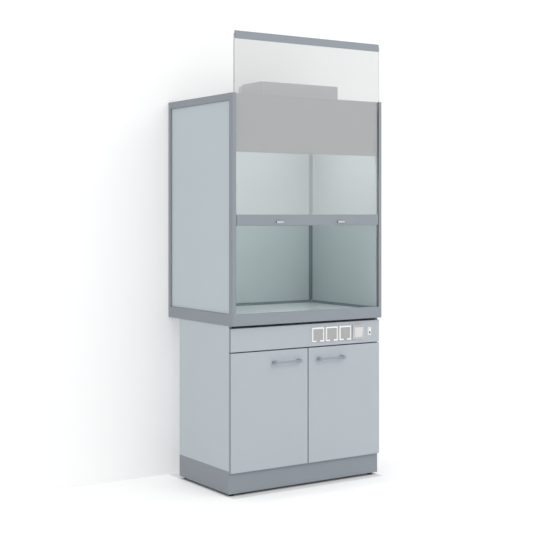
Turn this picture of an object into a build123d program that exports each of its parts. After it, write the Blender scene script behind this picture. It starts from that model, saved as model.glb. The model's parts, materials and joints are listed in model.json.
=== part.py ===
from build123d import *
import os

# A fume hood on its base cabinet, standing on the floor, in millimetres.
# X runs across it, Y from its front to its back and Z up. The origin is on the
# floor, under the middle of its outline. Left and right are as seen from the front.

# Overall
HOOD_WIDTH = 1037.0
HOOD_DEPTH = 724.0
HOOD_TOP = 2200.0
HOOD_BASE = 931.0
HANDLE_PROJECTION = 35.0

# Frame of the hood
POST_WIDTH = 25.0
FRONT_POST_DEPTH = 33.0
REAR_POST_DEPTH = 28.0
POST_RADIUS = 11.0
REAR_POST_RADIUS = 3.0
POST_WALL = 2.5
TOP_RAIL_HEIGHT = 50.0
TOP_RAIL_FACE = 39.0
BOTTOM_RAIL_HEIGHT = 64.0
FRONT_RAIL_DEPTH = 25.0
RAIL_WALL = 1.5
RAIL_RADIUS = 2.0
LEDGE_WIDTH = 15.0
LEDGE_THICKNESS = 4.0

# Channels in the posts, for the sash in front and the counterweight behind
CHANNEL_LIP = 4.0
CHANNEL_WIDTH = 14.0
CHANNEL_DEPTH = 12.0
WEIGHT_CHANNEL_WIDTH = 16.0
WEIGHT_CHANNEL_DEPTH = 17.0
WEIGHT_CHANNEL_LIP = 6.0
NOTCH_WEB = 1.0

# Panels of the hood
SIDE_PANEL_RECESS = 9.0
SHEET = 3.0
BACK_PANEL_RECESS = 2.0
LINER_BACK_GAP = 34.0
WORKTOP_THICKNESS = 30.0
WORKTOP_LIP = 15.0
TRIM_LEG = 17.0
TRIM_EDGE = 2.0
TRIM_HOLLOW = 5.5
TRANSOM_HEIGHT = 318.0
TRANSOM_SETBACK = 19.0
TRANSOM_SHEET = 2.0
TRANSOM_FLANGE = 26.0
TRANSOM_RETURN = 10.0
FIT_GAP = 0.2

# Roof: lamp housing and exhaust spigot
LAMP_WIDTH = 531.0
LAMP_DEPTH = 206.0
LAMP_HEIGHT = 84.0
LAMP_SETBACK = 100.0
LAMP_SHEET = 1.5
LAMP_FLANGE = 12.0
LAMP_RADIUS = 3.0
WINDOW_MARGIN = 30.0
DIFFUSER_LAP = 10.0
DIFFUSER_THICKNESS = 4.0
SPIGOT_RADIUS = 100.0
SPIGOT_WALL = 1.5
SPIGOT_HEIGHT = 109.0
SPIGOT_FLANGE = 22.0
SPIGOT_SHEET = 2.0
SPIGOT_INSET = 144.0

# Sash, at the height where it stands
SASH_BOTTOM = 1476.0
SASH_HEIGHT = 1062.0
GLASS_THICKNESS = 5.0
GLASS_GAP = 3.0
GLASS_ENGAGEMENT = 9.2
GLASS_SEAT = 14.0
HANDLE_RAIL_HEIGHT = 62.0
HANDLE_RAIL_DEPTH = 15.0
HANDLE_RAIL_SETBACK = 1.0
HANDLE_RAIL_RADIUS = 2.5
HANDLE_RAIL_GAP = 5.5
SHOE_GAP = 1.0
CAP_RAIL_HEIGHT = 42.0
CAP_RAIL_WALL = 2.2
CAP_RAIL_ENGAGEMENT = 3.0
PULL_OFFSET = 211.0
PULL_LENGTH = 46.0
PULL_RADIUS = 7.5
PULL_SHEET = 1.6
PULL_REACH = 12.0
PULL_MOUTH = 7.0
PULL_RAISE = 20.5

# Sash balance
CABLE_RADIUS = 1.25
CABLE_INSET = 18.0
CABLE_GAP = 0.35
PULLEY_PITCH_RADIUS = 19.0
PULLEY_RIM = 21.0
PULLEY_WIDTH = 6.0
PULLEY_LIP = 0.6
AXLE_RADIUS = 3.0
AXLE_SHOULDER = 5.0
AXLE_CLEARANCE = 0.05
SIDE_CLEARANCE = 0.3
WEIGHT_THICKNESS = 12.0
WEIGHT_HEIGHT = 163.0
WEIGHT_TOP = 1660.0
WEIGHT_END_GAP = 7.0
WEIGHT_BEVEL = 2.0

# Base cabinet
CABINET_INSET = 5.0
CABINET_SETBACK = 41.5
CABINET_DEPTH = 554.0
BOARD = 18.0
BACK_BOARD = 4.0
SHELF_BOARD = 16.0
SHELF_TOP = 462.0
SHELF_SETBACK = 45.0
SHELF_GAP = 0.5
PEG_RADIUS = 2.5
PEG_LENGTH = 8.0
PEG_INSET = 60.0
DOOR_BOTTOM = 128.5
DOOR_TOP = 782.0
DOOR_GAP = 0.5
DOOR_SPLIT = 5.0
FASCIA_BOTTOM = 787.5
FASCIA_TOP = 916.5
EDGE_BEVEL = 0.8
PLINTH_BASE = 14.0
PLINTH_TOP = 139.0
PLINTH_SHEET = 2.0
PLINTH_FLANGE = 22.0
GUSSET = 64.0
GUSSET_Z = 44.0
GUSSET_BOSS_RADIUS = 9.0
GUSSET_BOSS_HEIGHT = 14.0
FOOT_INSET = 32.0
FOOT_RADIUS = 16.0
FOOT_HEIGHT = 9.0
FOOT_BEVEL = 2.0
FOOT_NUT_RADIUS = 9.0
STEM_RADIUS = 5.0
STEM_CLEARANCE = 0.05
STEM_TOP = 70.0

# Door furniture
HANDLE_SPAN = 166.0
HANDLE_POST_RADIUS = 10.0
HANDLE_BAR_RADIUS = 5.0
HANDLE_ROUNDING = 1.0
HANDLE_Z = 717.0
HANDLE_FROM_SPLIT = 69.0
CUP_RADIUS = 17.5
CUP_DEPTH = 11.5
CUP_WALL = 1.2
CUP_FROM_EDGE = 22.5
CUP_CLEARANCE = 0.1
CUP_INSET_LOW = 110.0
CUP_INSET_HIGH = 95.0
ARM_HEIGHT = 13.0
ARM_LENGTH = 60.0
ARM_RISE = 16.0
ARM_THICKNESS = 7.0
ARM_PLATE = 2.0
ARM_PLATE_LENGTH = 40.0
ARM_PLATE_HEIGHT = 42.0
ARM_NOSE = (4.0, 10.0)

# Sockets and switches in the fascia
SOCKET_CENTRE_Z = 853.5
SOCKET_FIRST_X = 65.0
SOCKET_PITCH = 96.5
FRAME_SIZE = 82.0
FRAME_DEPTH = 9.0
FRAME_RADIUS = 4.0
FRAME_ROUNDING = 1.0
FRAME_HOLE_RADIUS = 33.0
INSERT_RADIUS = 31.0
INSERT_DEPTH = 40.0
LID_WIDTH = 68.0
LID_HEIGHT = 64.0
LID_THICKNESS = 3.5
LID_GAP = 0.6
LID_BACK_GAP = 1.0
LID_PROUD = 0.5
LID_PIN_RADIUS = 1.2
LID_PIN_LENGTH = 2.5
TAB_WIDTH = 25.0
TAB_LENGTH = 8.0
TAB_RADIUS = 6.0
RECESS_RADIUS = 19.5
RECESS_DEPTH = 17.0
CONTACT_RADIUS = 2.6
CONTACT_SPACING = 19.0
CONTACT_DEPTH = 16.0
EARTH_CLIP = (6.0, 12.0, 1.5)
SWITCH_FLOOR = 1.5
SWITCH_KEY_WIDTH = 59.0
SWITCH_KEY_HEIGHT = 59.0
SWITCH_KEY_FRONT = 4.0
SWITCH_KEY_BACK = 1.5
SWITCH_KEY_CROWN = 4.0
SWITCH_KEY_GAP = 1.0
SWITCH_AXIS_PROUD = 5.5
SWITCH_TILT = 3.0
ROCKER_CENTRE_X = 438.5
ROCKER_BEZEL = (22.0, 47.0)
ROCKER_BEZEL_DEPTH = 3.5
ROCKER_BEZEL_RADIUS = 2.0
ROCKER_BEZEL_ROUNDING = 0.8
ROCKER_BODY = (18.0, 41.0)
ROCKER_BODY_DEPTH = 28.0
ROCKER_HOLE_GAP = 0.5
ROCKER_KEY = (13.0, 34.0)
ROCKER_KEY_DEPTH = 9.0
ROCKER_KEY_VALLEY = 2.0
ROCKER_KEY_TAPER = 3.5
ROCKER_KEY_GAP = 0.8
ROCKER_AXIS_DEPTH = 2.0
ROCKER_TILT = 6.0
ROCKER_PIN_RADIUS = 1.5

# Places that follow from the sizes above
FRONT_REACH = HANDLE_PROJECTION - (CABINET_SETBACK - DOOR_GAP - BOARD)
FRONT = -(HOOD_DEPTH - FRONT_REACH) / 2
BACK = FRONT + HOOD_DEPTH
LEFT = -HOOD_WIDTH / 2
POST_INNER = LEFT + POST_WIDTH
CHANNEL_FLOOR = POST_INNER - CHANNEL_DEPTH
CHANNEL_FRONT = FRONT + CHANNEL_LIP
CHANNEL_BACK = CHANNEL_FRONT + CHANNEL_WIDTH
FRONT_POST_BACK = FRONT + FRONT_POST_DEPTH
REAR_POST_FRONT = BACK - REAR_POST_DEPTH
WEIGHT_CHANNEL_FLOOR = POST_INNER - WEIGHT_CHANNEL_DEPTH
WEIGHT_CHANNEL_BACK = BACK - WEIGHT_CHANNEL_LIP
WEIGHT_CHANNEL_FRONT = WEIGHT_CHANNEL_BACK - WEIGHT_CHANNEL_WIDTH
WEIGHT_Y = (WEIGHT_CHANNEL_FRONT + WEIGHT_CHANNEL_BACK) / 2
TOP_RAIL_BASE = HOOD_TOP - TOP_RAIL_HEIGHT
SIDE_PANEL_TOP = HOOD_TOP - TOP_RAIL_FACE
BOTTOM_RAIL_TOP = HOOD_BASE + BOTTOM_RAIL_HEIGHT
TOP_RAIL_FRONT = CHANNEL_BACK + NOTCH_WEB
TOP_RAIL_BACK = WEIGHT_CHANNEL_FRONT - NOTCH_WEB
WORKTOP_Z = BOTTOM_RAIL_TOP - WORKTOP_LIP
WORKTOP_BASE = WORKTOP_Z - WORKTOP_THICKNESS
WORKTOP_SEAT = WORKTOP_Z - TRIM_EDGE
ROOF_UNDERSIDE = HOOD_TOP - SHEET
LINER_INNER = POST_INNER + SHEET
LINER_FRONT = FRONT + FRONT_RAIL_DEPTH
LINER_BACK = BACK - LINER_BACK_GAP
TRANSOM_FRONT = FRONT + TRANSOM_SETBACK
TRANSOM_BASE = HOOD_TOP - TRANSOM_HEIGHT
GLASS_FRONT = CHANNEL_FRONT + GLASS_GAP
GLASS_BACK = GLASS_FRONT + GLASS_THICKNESS
GLASS_LEFT = POST_INNER - GLASS_ENGAGEMENT
SASH_TOP = SASH_BOTTOM + SASH_HEIGHT
HANDLE_RAIL_FRONT = FRONT + HANDLE_RAIL_SETBACK
HANDLE_RAIL_TOP = SASH_BOTTOM + HANDLE_RAIL_HEIGHT
CABLE_X = LEFT + CABLE_INSET
CABLE_Y = GLASS_BACK + PULLEY_RIM - PULLEY_PITCH_RADIUS + SHOE_GAP
PULLEY_Z = TOP_RAIL_BASE + TOP_RAIL_HEIGHT / 2
FRONT_PULLEY_Y = CABLE_Y + PULLEY_PITCH_RADIUS
REAR_PULLEY_Y = WEIGHT_Y - PULLEY_PITCH_RADIUS
LAMP_FRONT = FRONT + LAMP_SETBACK
SPIGOT_Y = BACK - SPIGOT_INSET
SPIGOT_BORE = SPIGOT_RADIUS - SPIGOT_WALL
CABINET_LEFT = LEFT + CABINET_INSET
CABINET_INNER = CABINET_LEFT + BOARD
CABINET_FRONT = FRONT + CABINET_SETBACK
CABINET_BACK = CABINET_FRONT + CABINET_DEPTH
DOOR_BACK = CABINET_FRONT - DOOR_GAP
DOOR_FACE = DOOR_BACK - BOARD
FASCIA_FACE = CABINET_FRONT - BOARD
HINGE_HEIGHTS = (DOOR_BOTTOM + CUP_INSET_LOW, DOOR_TOP - CUP_INSET_HIGH)
SOCKET_XS = tuple(SOCKET_FIRST_X + n * SOCKET_PITCH for n in range(3))
SWITCH_X = SOCKET_FIRST_X + 3 * SOCKET_PITCH
FRAME_FRONT = FASCIA_FACE - FRAME_DEPTH
LID_FRONT = FRAME_FRONT - LID_PROUD
LID_BACK = LID_FRONT + LID_THICKNESS
RECESS_FLOOR = LID_BACK + LID_BACK_GAP
LID_AXIS_Y = LID_FRONT + LID_THICKNESS / 2
LID_AXIS_Z = SOCKET_CENTRE_Z + LID_HEIGHT / 2 - LID_THICKNESS / 2
SWITCH_AXIS_Y = FASCIA_FACE - SWITCH_AXIS_PROUD
ROCKER_AXIS_Y = FASCIA_FACE + ROCKER_AXIS_DEPTH


def box(x0, x1, y0, y1, z0, z1):
    """A rectangular solid between two opposite corners."""
    middle = Pos((x0 + x1) / 2, (y0 + y1) / 2, (z0 + z1) / 2)
    return middle * Box(x1 - x0, y1 - y0, z1 - z0)


def rectangle(u0, u1, v0, v1):
    """A rectangular face between two opposite corners of the sketch plane."""
    return Pos((u0 + u1) / 2, (v0 + v1) / 2) * Rectangle(u1 - u0, v1 - v0)


def polygon(*points):
    return make_face(Polyline(*points, close=True))


def along_x(section, x0, x1):
    """Extrudes a section drawn in Y and Z from x0 to x1."""
    return extrude(Plane.YZ.offset(x0) * section, x1 - x0)


def along_y(section, y0, y1):
    """Extrudes a section drawn in X and Z from y0 to y1."""
    return extrude(Plane.XZ.offset(-y0) * section, y0 - y1)


def along_z(section, z0, z1):
    """Extrudes a section drawn in X and Y from z0 to z1."""
    return extrude(Pos(0, 0, z0) * section, z1 - z0)


def bar_x(radius, x0, x1, y, z):
    """A round bar along X."""
    return along_x(Pos(y, z) * Circle(radius), x0, x1)


def bar_y(radius, x, y0, y1, z):
    """A round bar along Y."""
    return along_y(Pos(x, z) * Circle(radius), y0, y1)


def bar_z(radius, x, y, z0, z1):
    """A round bar along Z."""
    return along_z(Pos(x, y) * Circle(radius), z0, z1)


def rounded_corner(section, u, v, radius):
    """Rounds the one corner of a section that lies nearest to (u, v)."""
    corner = section.vertices().sort_by_distance((u, v, 0))[0]
    return fillet(corner, radius)


def other_side(solid):
    return mirror(solid, about=Plane.YZ)


def front_post():
    """Extrusion with a rounded outer corner, the sash's channel and two chambers.

    Behind the channel its top is notched, so that the top rail reaches the cable.
    """
    section = rectangle(LEFT, POST_INNER, FRONT, FRONT_POST_BACK)
    section = rounded_corner(section, LEFT, FRONT, POST_RADIUS)
    section -= rectangle(CHANNEL_FLOOR, POST_INNER, CHANNEL_FRONT, CHANNEL_BACK)
    post = along_z(section, HOOD_BASE, HOOD_TOP)
    rear_chamber = rectangle(
        LEFT + POST_WALL, POST_INNER - POST_WALL,
        CHANNEL_BACK + POST_WALL, FRONT_POST_BACK - POST_WALL,
    )
    outer_chamber = rectangle(
        LEFT + 2 * POST_WALL, CHANNEL_FLOOR - POST_WALL,
        CHANNEL_FRONT + POST_WALL, CHANNEL_BACK,
    )
    post -= along_z(rear_chamber + outer_chamber, HOOD_BASE, TOP_RAIL_BASE - POST_WALL)
    post -= along_y(top_rail_outline(), TOP_RAIL_FRONT, FRONT_POST_BACK)
    post -= box(CHANNEL_FLOOR, POST_INNER, CHANNEL_BACK, TOP_RAIL_FRONT, TOP_RAIL_BASE, HOOD_TOP)
    return post


def rear_post():
    """Extrusion with the counterweight's channel, notched at its top for the top rail."""
    section = rectangle(LEFT, POST_INNER, REAR_POST_FRONT, BACK)
    section = rounded_corner(section, LEFT, BACK, REAR_POST_RADIUS)
    section -= rectangle(
        WEIGHT_CHANNEL_FLOOR, POST_INNER, WEIGHT_CHANNEL_FRONT, WEIGHT_CHANNEL_BACK
    )
    post = along_z(section, HOOD_BASE, HOOD_TOP)
    post -= along_y(top_rail_outline(), REAR_POST_FRONT, TOP_RAIL_BACK)
    post -= box(
        WEIGHT_CHANNEL_FLOOR, POST_INNER, TOP_RAIL_BACK, WEIGHT_CHANNEL_FRONT,
        TOP_RAIL_BASE, HOOD_TOP,
    )
    return post


def hollow(u0, u1, v0, v1, radius=None, corner=None):
    """Section of a box rail with thin walls, with one corner rounded if it is named."""
    outer = rectangle(u0, u1, v0, v1)
    if radius:
        outer = rounded_corner(outer, *corner, radius)
    return outer - rectangle(u0 + RAIL_WALL, u1 - RAIL_WALL, v0 + RAIL_WALL, v1 - RAIL_WALL)


def pulley_axle(y):
    """Stub axle across the top rail, with a shoulder on each side of its pulley."""
    half = PULLEY_WIDTH / 2 + SIDE_CLEARANCE
    axle = bar_x(AXLE_RADIUS, LEFT + RAIL_WALL, POST_INNER - RAIL_WALL, y, PULLEY_Z)
    axle += bar_x(AXLE_SHOULDER, LEFT + RAIL_WALL, CABLE_X - half, y, PULLEY_Z)
    axle += bar_x(AXLE_SHOULDER, CABLE_X + half, POST_INNER - RAIL_WALL, y, PULLEY_Z)
    return axle


def top_rail_outline(inset=0.0):
    """Outline of a side rail of the roof, with the rebate in which its side panel stands."""
    outline = rectangle(LEFT + inset, POST_INNER - inset, TOP_RAIL_BASE + inset, HOOD_TOP - inset)
    panel_back = LEFT + SIDE_PANEL_RECESS + SHEET
    return outline - rectangle(LEFT, panel_back + inset, TOP_RAIL_BASE, SIDE_PANEL_TOP + inset)


def top_rail():
    """Side rail of the roof, which carries the pulleys of the sash balance."""
    section = rounded_corner(top_rail_outline(), LEFT, HOOD_TOP, RAIL_RADIUS)
    section -= top_rail_outline(RAIL_WALL)
    rail = along_y(section, TOP_RAIL_FRONT, TOP_RAIL_BACK)
    return rail + pulley_axle(FRONT_PULLEY_Y) + pulley_axle(REAR_PULLEY_Y)


def bottom_rail():
    """Side rail of the base, with a ledge inside that carries the worktop."""
    section = hollow(LEFT, POST_INNER, HOOD_BASE, BOTTOM_RAIL_TOP, RAIL_RADIUS, (LEFT, HOOD_BASE))
    section += rectangle(
        POST_INNER, POST_INNER + LEDGE_WIDTH, WORKTOP_BASE - LEDGE_THICKNESS, WORKTOP_BASE
    )
    return along_y(section, FRONT_POST_BACK, REAR_POST_FRONT)


def bottom_rail_front():
    section = hollow(
        FRONT, LINER_FRONT, HOOD_BASE, BOTTOM_RAIL_TOP, RAIL_RADIUS, (FRONT, HOOD_BASE)
    )
    return along_x(section, POST_INNER, -POST_INNER)


def bottom_rail_rear():
    return along_x(hollow(REAR_POST_FRONT, BACK, HOOD_BASE, BOTTOM_RAIL_TOP), POST_INNER, -POST_INNER)


def top_rail_rear():
    return along_x(hollow(REAR_POST_FRONT, BACK, TOP_RAIL_BASE, HOOD_TOP), POST_INNER, -POST_INNER)


def side_panel():
    x0 = LEFT + SIDE_PANEL_RECESS
    return box(x0, x0 + SHEET, FRONT_POST_BACK, REAR_POST_FRONT, BOTTOM_RAIL_TOP, SIDE_PANEL_TOP)


def liner_side():
    return box(POST_INNER, LINER_INNER, LINER_FRONT, LINER_BACK, WORKTOP_SEAT, ROOF_UNDERSIDE)


def liner_back():
    return box(
        LINER_INNER, -LINER_INNER, LINER_BACK - SHEET, LINER_BACK, WORKTOP_SEAT, ROOF_UNDERSIDE
    )


def back_panel():
    y1 = BACK - BACK_PANEL_RECESS
    return box(POST_INNER, -POST_INNER, y1 - SHEET, y1, BOTTOM_RAIL_TOP, TOP_RAIL_BASE)


def worktop():
    """Worktop with a lower margin for the liners and trims, whose edges lie level with its field."""
    board = box(POST_INNER, -POST_INNER, LINER_FRONT, REAR_POST_FRONT, WORKTOP_BASE, WORKTOP_SEAT)
    x0, y1 = LINER_INNER + TRIM_LEG + FIT_GAP, LINER_BACK - SHEET - TRIM_LEG - FIT_GAP
    return board + box(x0, -x0, LINER_FRONT + FIT_GAP, y1, WORKTOP_SEAT, WORKTOP_Z)


def trim_section():
    """Cove section with its corner at the origin: two legs, two blunt edges, a hollow face."""
    outline = Polyline((TRIM_EDGE, TRIM_LEG), (0, TRIM_LEG), (0, 0), (TRIM_LEG, 0), (TRIM_LEG, TRIM_EDGE))
    face = ThreePointArc((TRIM_LEG, TRIM_EDGE), (TRIM_HOLLOW, TRIM_HOLLOW), (TRIM_EDGE, TRIM_LEG))
    return make_face(outline + face)


def chamber_trims():
    """Cove trims along the chamber's floor and up its two back corners."""
    back = LINER_BACK - SHEET
    cove = trim_section()
    floor_back = along_x(Pos(back, WORKTOP_SEAT) * Rot(0, 0, 90) * cove, LINER_INNER, -LINER_INNER)
    floor_left = along_y(Pos(LINER_INNER, WORKTOP_SEAT) * cove, LINER_FRONT, back - TRIM_LEG)
    corner_left = along_z(
        Pos(LINER_INNER, back) * Rot(0, 0, -90) * cove, WORKTOP_SEAT + TRIM_LEG, ROOF_UNDERSIDE
    )
    return [floor_back, floor_left, other_side(floor_left), corner_left, other_side(corner_left)]


def transom_panel():
    """Folded sheet behind the sash: a face with a flange above and a lipped one below."""
    face = box(
        POST_INNER + FIT_GAP, -POST_INNER - FIT_GAP,
        TRANSOM_FRONT, TRANSOM_FRONT + TRANSOM_SHEET, TRANSOM_BASE, HOOD_TOP,
    )
    y0 = TRANSOM_FRONT + TRANSOM_SHEET
    y1 = y0 + TRANSOM_FLANGE
    top = rectangle(y0, y1, ROOF_UNDERSIDE - TRANSOM_SHEET, ROOF_UNDERSIDE)
    bottom = rectangle(y0, y1, TRANSOM_BASE, TRANSOM_BASE + TRANSOM_SHEET)
    lip = rectangle(y1 - TRANSOM_SHEET, y1, TRANSOM_BASE, TRANSOM_BASE + TRANSOM_RETURN)
    return face + along_x(top + bottom + lip, LINER_INNER + FIT_GAP, -LINER_INNER - FIT_GAP)


def lamp_window(lap=0.0):
    """Outline of the lamp's window in the roof, or of the diffuser that laps over it."""
    width = LAMP_WIDTH - 2 * WINDOW_MARGIN + 2 * lap
    depth = LAMP_DEPTH - 2 * WINDOW_MARGIN + 2 * lap
    return Pos(0, LAMP_FRONT + LAMP_DEPTH / 2) * RectangleRounded(width, depth, LAMP_RADIUS + lap)


def roof_panel():
    """Roof sheet with the lamp's window and the exhaust opening."""
    sheet = rectangle(
        POST_INNER, -POST_INNER, TRANSOM_FRONT + TRANSOM_SHEET + FIT_GAP, REAR_POST_FRONT
    )
    sheet -= lamp_window()
    sheet -= Pos(0, SPIGOT_Y) * Circle(SPIGOT_BORE)
    return along_z(sheet, ROOF_UNDERSIDE, HOOD_TOP)


def lamp_housing():
    """Folded cover, open below, with a flange that sits on the roof."""
    middle = Pos(0, LAMP_FRONT + LAMP_DEPTH / 2)
    outer = middle * RectangleRounded(LAMP_WIDTH, LAMP_DEPTH, LAMP_RADIUS)
    inner = middle * Rectangle(LAMP_WIDTH - 2 * LAMP_SHEET, LAMP_DEPTH - 2 * LAMP_SHEET)
    flange = middle * RectangleRounded(
        LAMP_WIDTH + 2 * LAMP_FLANGE, LAMP_DEPTH + 2 * LAMP_FLANGE, LAMP_RADIUS
    )
    top = HOOD_TOP + LAMP_HEIGHT
    housing = along_z(outer, HOOD_TOP, top)
    housing = fillet(housing.faces().sort_by(Axis.Z)[-1].edges(), LAMP_SHEET)
    housing += along_z(flange, HOOD_TOP, HOOD_TOP + LAMP_SHEET)
    return housing - along_z(inner, HOOD_TOP, top - LAMP_SHEET)


def lamp_diffuser():
    return along_z(lamp_window(DIFFUSER_LAP), HOOD_TOP, HOOD_TOP + DIFFUSER_THICKNESS)


def exhaust_spigot():
    """Round spigot for the extract duct, turned out into a flange on the roof."""
    spigot = Circle(SPIGOT_RADIUS) - Circle(SPIGOT_BORE)
    flange = Circle(SPIGOT_RADIUS + SPIGOT_FLANGE) - Circle(SPIGOT_BORE)
    place = Pos(0, SPIGOT_Y)
    body = along_z(place * spigot, HOOD_TOP, HOOD_TOP + SPIGOT_HEIGHT)
    return body + along_z(place * flange, HOOD_TOP, HOOD_TOP + SPIGOT_SHEET)


def sash_glass():
    bottom = SASH_BOTTOM + GLASS_SEAT
    top = SASH_TOP - GLASS_SEAT
    return box(GLASS_LEFT, -GLASS_LEFT, GLASS_FRONT, GLASS_BACK, bottom, top)


def sash_top_rail():
    """Channel section that caps the glass and runs in the posts."""
    x0 = POST_INNER - CAP_RAIL_ENGAGEMENT
    section = rectangle(
        GLASS_FRONT - CAP_RAIL_WALL, GLASS_BACK + CAP_RAIL_WALL, SASH_TOP - CAP_RAIL_HEIGHT, SASH_TOP
    )
    section -= rectangle(GLASS_FRONT, GLASS_BACK, SASH_TOP - CAP_RAIL_HEIGHT, SASH_TOP - GLASS_SEAT)
    return along_x(section, x0, -x0)


def sash_handle_rail():
    """Bottom rail of the sash, with a groove for the glass and an end shoe in each channel."""
    back = HANDLE_RAIL_FRONT + HANDLE_RAIL_DEPTH
    section = rectangle(HANDLE_RAIL_FRONT, back, SASH_BOTTOM, HANDLE_RAIL_TOP)
    section = fillet(section.vertices(), HANDLE_RAIL_RADIUS)
    section -= rectangle(
        HANDLE_RAIL_FRONT + POST_WALL, back - POST_WALL,
        SASH_BOTTOM + POST_WALL, SASH_BOTTOM + GLASS_SEAT - POST_WALL,
    )
    x0 = POST_INNER + HANDLE_RAIL_GAP
    rail = along_x(section, x0, -x0)
    shoe = box(
        CHANNEL_FLOOR + 2 * SHOE_GAP, x0,
        CHANNEL_FRONT + SHOE_GAP, CHANNEL_BACK - SHOE_GAP, SASH_BOTTOM, HANDLE_RAIL_TOP,
    )
    rail += shoe + other_side(shoe)
    seat = SASH_BOTTOM + GLASS_SEAT
    return rail - box(GLASS_LEFT, -GLASS_LEFT, GLASS_FRONT, GLASS_BACK, seat, HANDLE_RAIL_TOP)


def finger_pulls():
    """Two rolled finger pulls on the handle rail, open at their ends and below."""
    face = HANDLE_RAIL_FRONT
    z = SASH_BOTTOM + PULL_RAISE
    y = face - PULL_REACH + PULL_RADIUS
    inner, back = PULL_RADIUS - PULL_SHEET, y + PULL_RADIUS
    shell = Pos(y, z) * (Circle(PULL_RADIUS) - Circle(inner))
    shell -= rectangle(y, back, z - PULL_RADIUS, z + PULL_RADIUS)
    shell -= rectangle(face - PULL_SHEET - PULL_MOUTH, back, z - PULL_RADIUS, z)
    shell += rectangle(y, face, z + inner, z + PULL_RADIUS)
    shell += rectangle(face - PULL_SHEET, face, z - PULL_RADIUS, z + PULL_RADIUS)
    half = PULL_LENGTH / 2
    pull = along_x(shell, -PULL_OFFSET - half, -PULL_OFFSET + half)
    return [pull, other_side(pull)]


def pair(solid):
    return [solid, other_side(solid)]


def cables_front():
    return pair(bar_z(CABLE_RADIUS, CABLE_X, CABLE_Y, HANDLE_RAIL_TOP, PULLEY_Z))


def cables_rear():
    return pair(bar_z(CABLE_RADIUS, CABLE_X, WEIGHT_Y, WEIGHT_TOP, PULLEY_Z))


def cables_top():
    """The runs of the cables over both pulleys of each side."""
    r = PULLEY_PITCH_RADIUS
    top = PULLEY_Z + r
    front = CenterArc((FRONT_PULLEY_Y, PULLEY_Z), r, 180, -90)
    run = Line((FRONT_PULLEY_Y, top), (REAR_PULLEY_Y, top))
    rear = CenterArc((REAR_PULLEY_Y, PULLEY_Z), r, 90, -90)
    path = Plane.YZ.offset(CABLE_X) * (front + run + rear)
    start = Plane(origin=(CABLE_X, CABLE_Y, PULLEY_Z), z_dir=(0, 0, 1))
    return pair(sweep(start * Circle(CABLE_RADIUS), path=path))


def pulley(y):
    """Grooved pulley, turned about its bore."""
    half = PULLEY_WIDTH / 2
    bore = AXLE_RADIUS + AXLE_CLEARANCE
    groove = PULLEY_PITCH_RADIUS - CABLE_RADIUS - CABLE_GAP
    bed = CABLE_RADIUS + CABLE_GAP
    section = polygon((bore, -half), (PULLEY_RIM, -half), (PULLEY_RIM, half), (bore, half))
    section -= polygon(
        (groove, -bed / 2), (groove, bed / 2), (PULLEY_PITCH_RADIUS, bed),
        (PULLEY_RIM, half - PULLEY_LIP), (PULLEY_RIM, PULLEY_LIP - half), (PULLEY_PITCH_RADIUS, -bed),
    )
    wheel = revolve(Plane.XZ * section, Axis.Z)
    return Pos(CABLE_X, y, PULLEY_Z) * Rot(0, 90, 0) * wheel


def counterweight():
    """Flat bar across the back that the cables lift as the sash comes down."""
    x0 = WEIGHT_CHANNEL_FLOOR + WEIGHT_END_GAP
    half = WEIGHT_THICKNESS / 2
    bar = box(x0, -x0, WEIGHT_Y - half, WEIGHT_Y + half, WEIGHT_TOP - WEIGHT_HEIGHT, WEIGHT_TOP)
    return chamfer(bar.faces().sort_by(Axis.Z)[0].edges(), WEIGHT_BEVEL)


def cabinet_side():
    """Side board with the pegs that carry the shelf."""
    side = box(CABINET_LEFT, CABINET_INNER, CABINET_FRONT, CABINET_BACK, PLINTH_TOP, HOOD_BASE)
    peg_z = SHELF_TOP - SHELF_BOARD - PEG_RADIUS
    for y in (CABINET_FRONT + SHELF_SETBACK + PEG_INSET, CABINET_BACK - PEG_INSET):
        side += bar_x(PEG_RADIUS, CABINET_INNER, CABINET_INNER + PEG_LENGTH, y, peg_z)
    return side


def cabinet_bottom():
    return box(
        CABINET_INNER, -CABINET_INNER, CABINET_FRONT, CABINET_BACK - BACK_BOARD,
        PLINTH_TOP, PLINTH_TOP + BOARD,
    )


def cabinet_top():
    """Top board under the shadow gap, level with the fascia's upper edge."""
    return box(
        CABINET_INNER, -CABINET_INNER, CABINET_FRONT, CABINET_BACK - BACK_BOARD,
        FASCIA_TOP - BOARD, FASCIA_TOP,
    )


def cabinet_back():
    return box(
        CABINET_INNER, -CABINET_INNER, CABINET_BACK - BACK_BOARD, CABINET_BACK, PLINTH_TOP, HOOD_BASE
    )


def shelf():
    x0 = CABINET_INNER + SHELF_GAP
    back = CABINET_BACK - BACK_BOARD - SHELF_GAP
    return box(x0, -x0, CABINET_FRONT + SHELF_SETBACK, back, SHELF_TOP - SHELF_BOARD, SHELF_TOP)


def bevelled(board):
    """Breaks the edges round a board's front face."""
    return chamfer(board.faces().sort_by(Axis.Y)[0].edges(), EDGE_BEVEL)


def fascia():
    """Front board above the doors, cut out for the sockets and the switches."""
    board = bevelled(
        box(CABINET_LEFT, -CABINET_LEFT, FASCIA_FACE, CABINET_FRONT, FASCIA_BOTTOM, FASCIA_TOP)
    )
    for x in (*SOCKET_XS, SWITCH_X):
        board -= bar_y(FRAME_HOLE_RADIUS, x, FASCIA_FACE, CABINET_FRONT, SOCKET_CENTRE_Z)
    width, height = (size + 2 * ROCKER_HOLE_GAP for size in ROCKER_BODY)
    hole = Pos(ROCKER_CENTRE_X, SOCKET_CENTRE_Z) * Rectangle(width, height)
    return board - along_y(hole, FASCIA_FACE, CABINET_FRONT)


def cup_places():
    x = CABINET_LEFT + CUP_FROM_EDGE
    return [(x, z) for z in HINGE_HEIGHTS]


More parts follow.
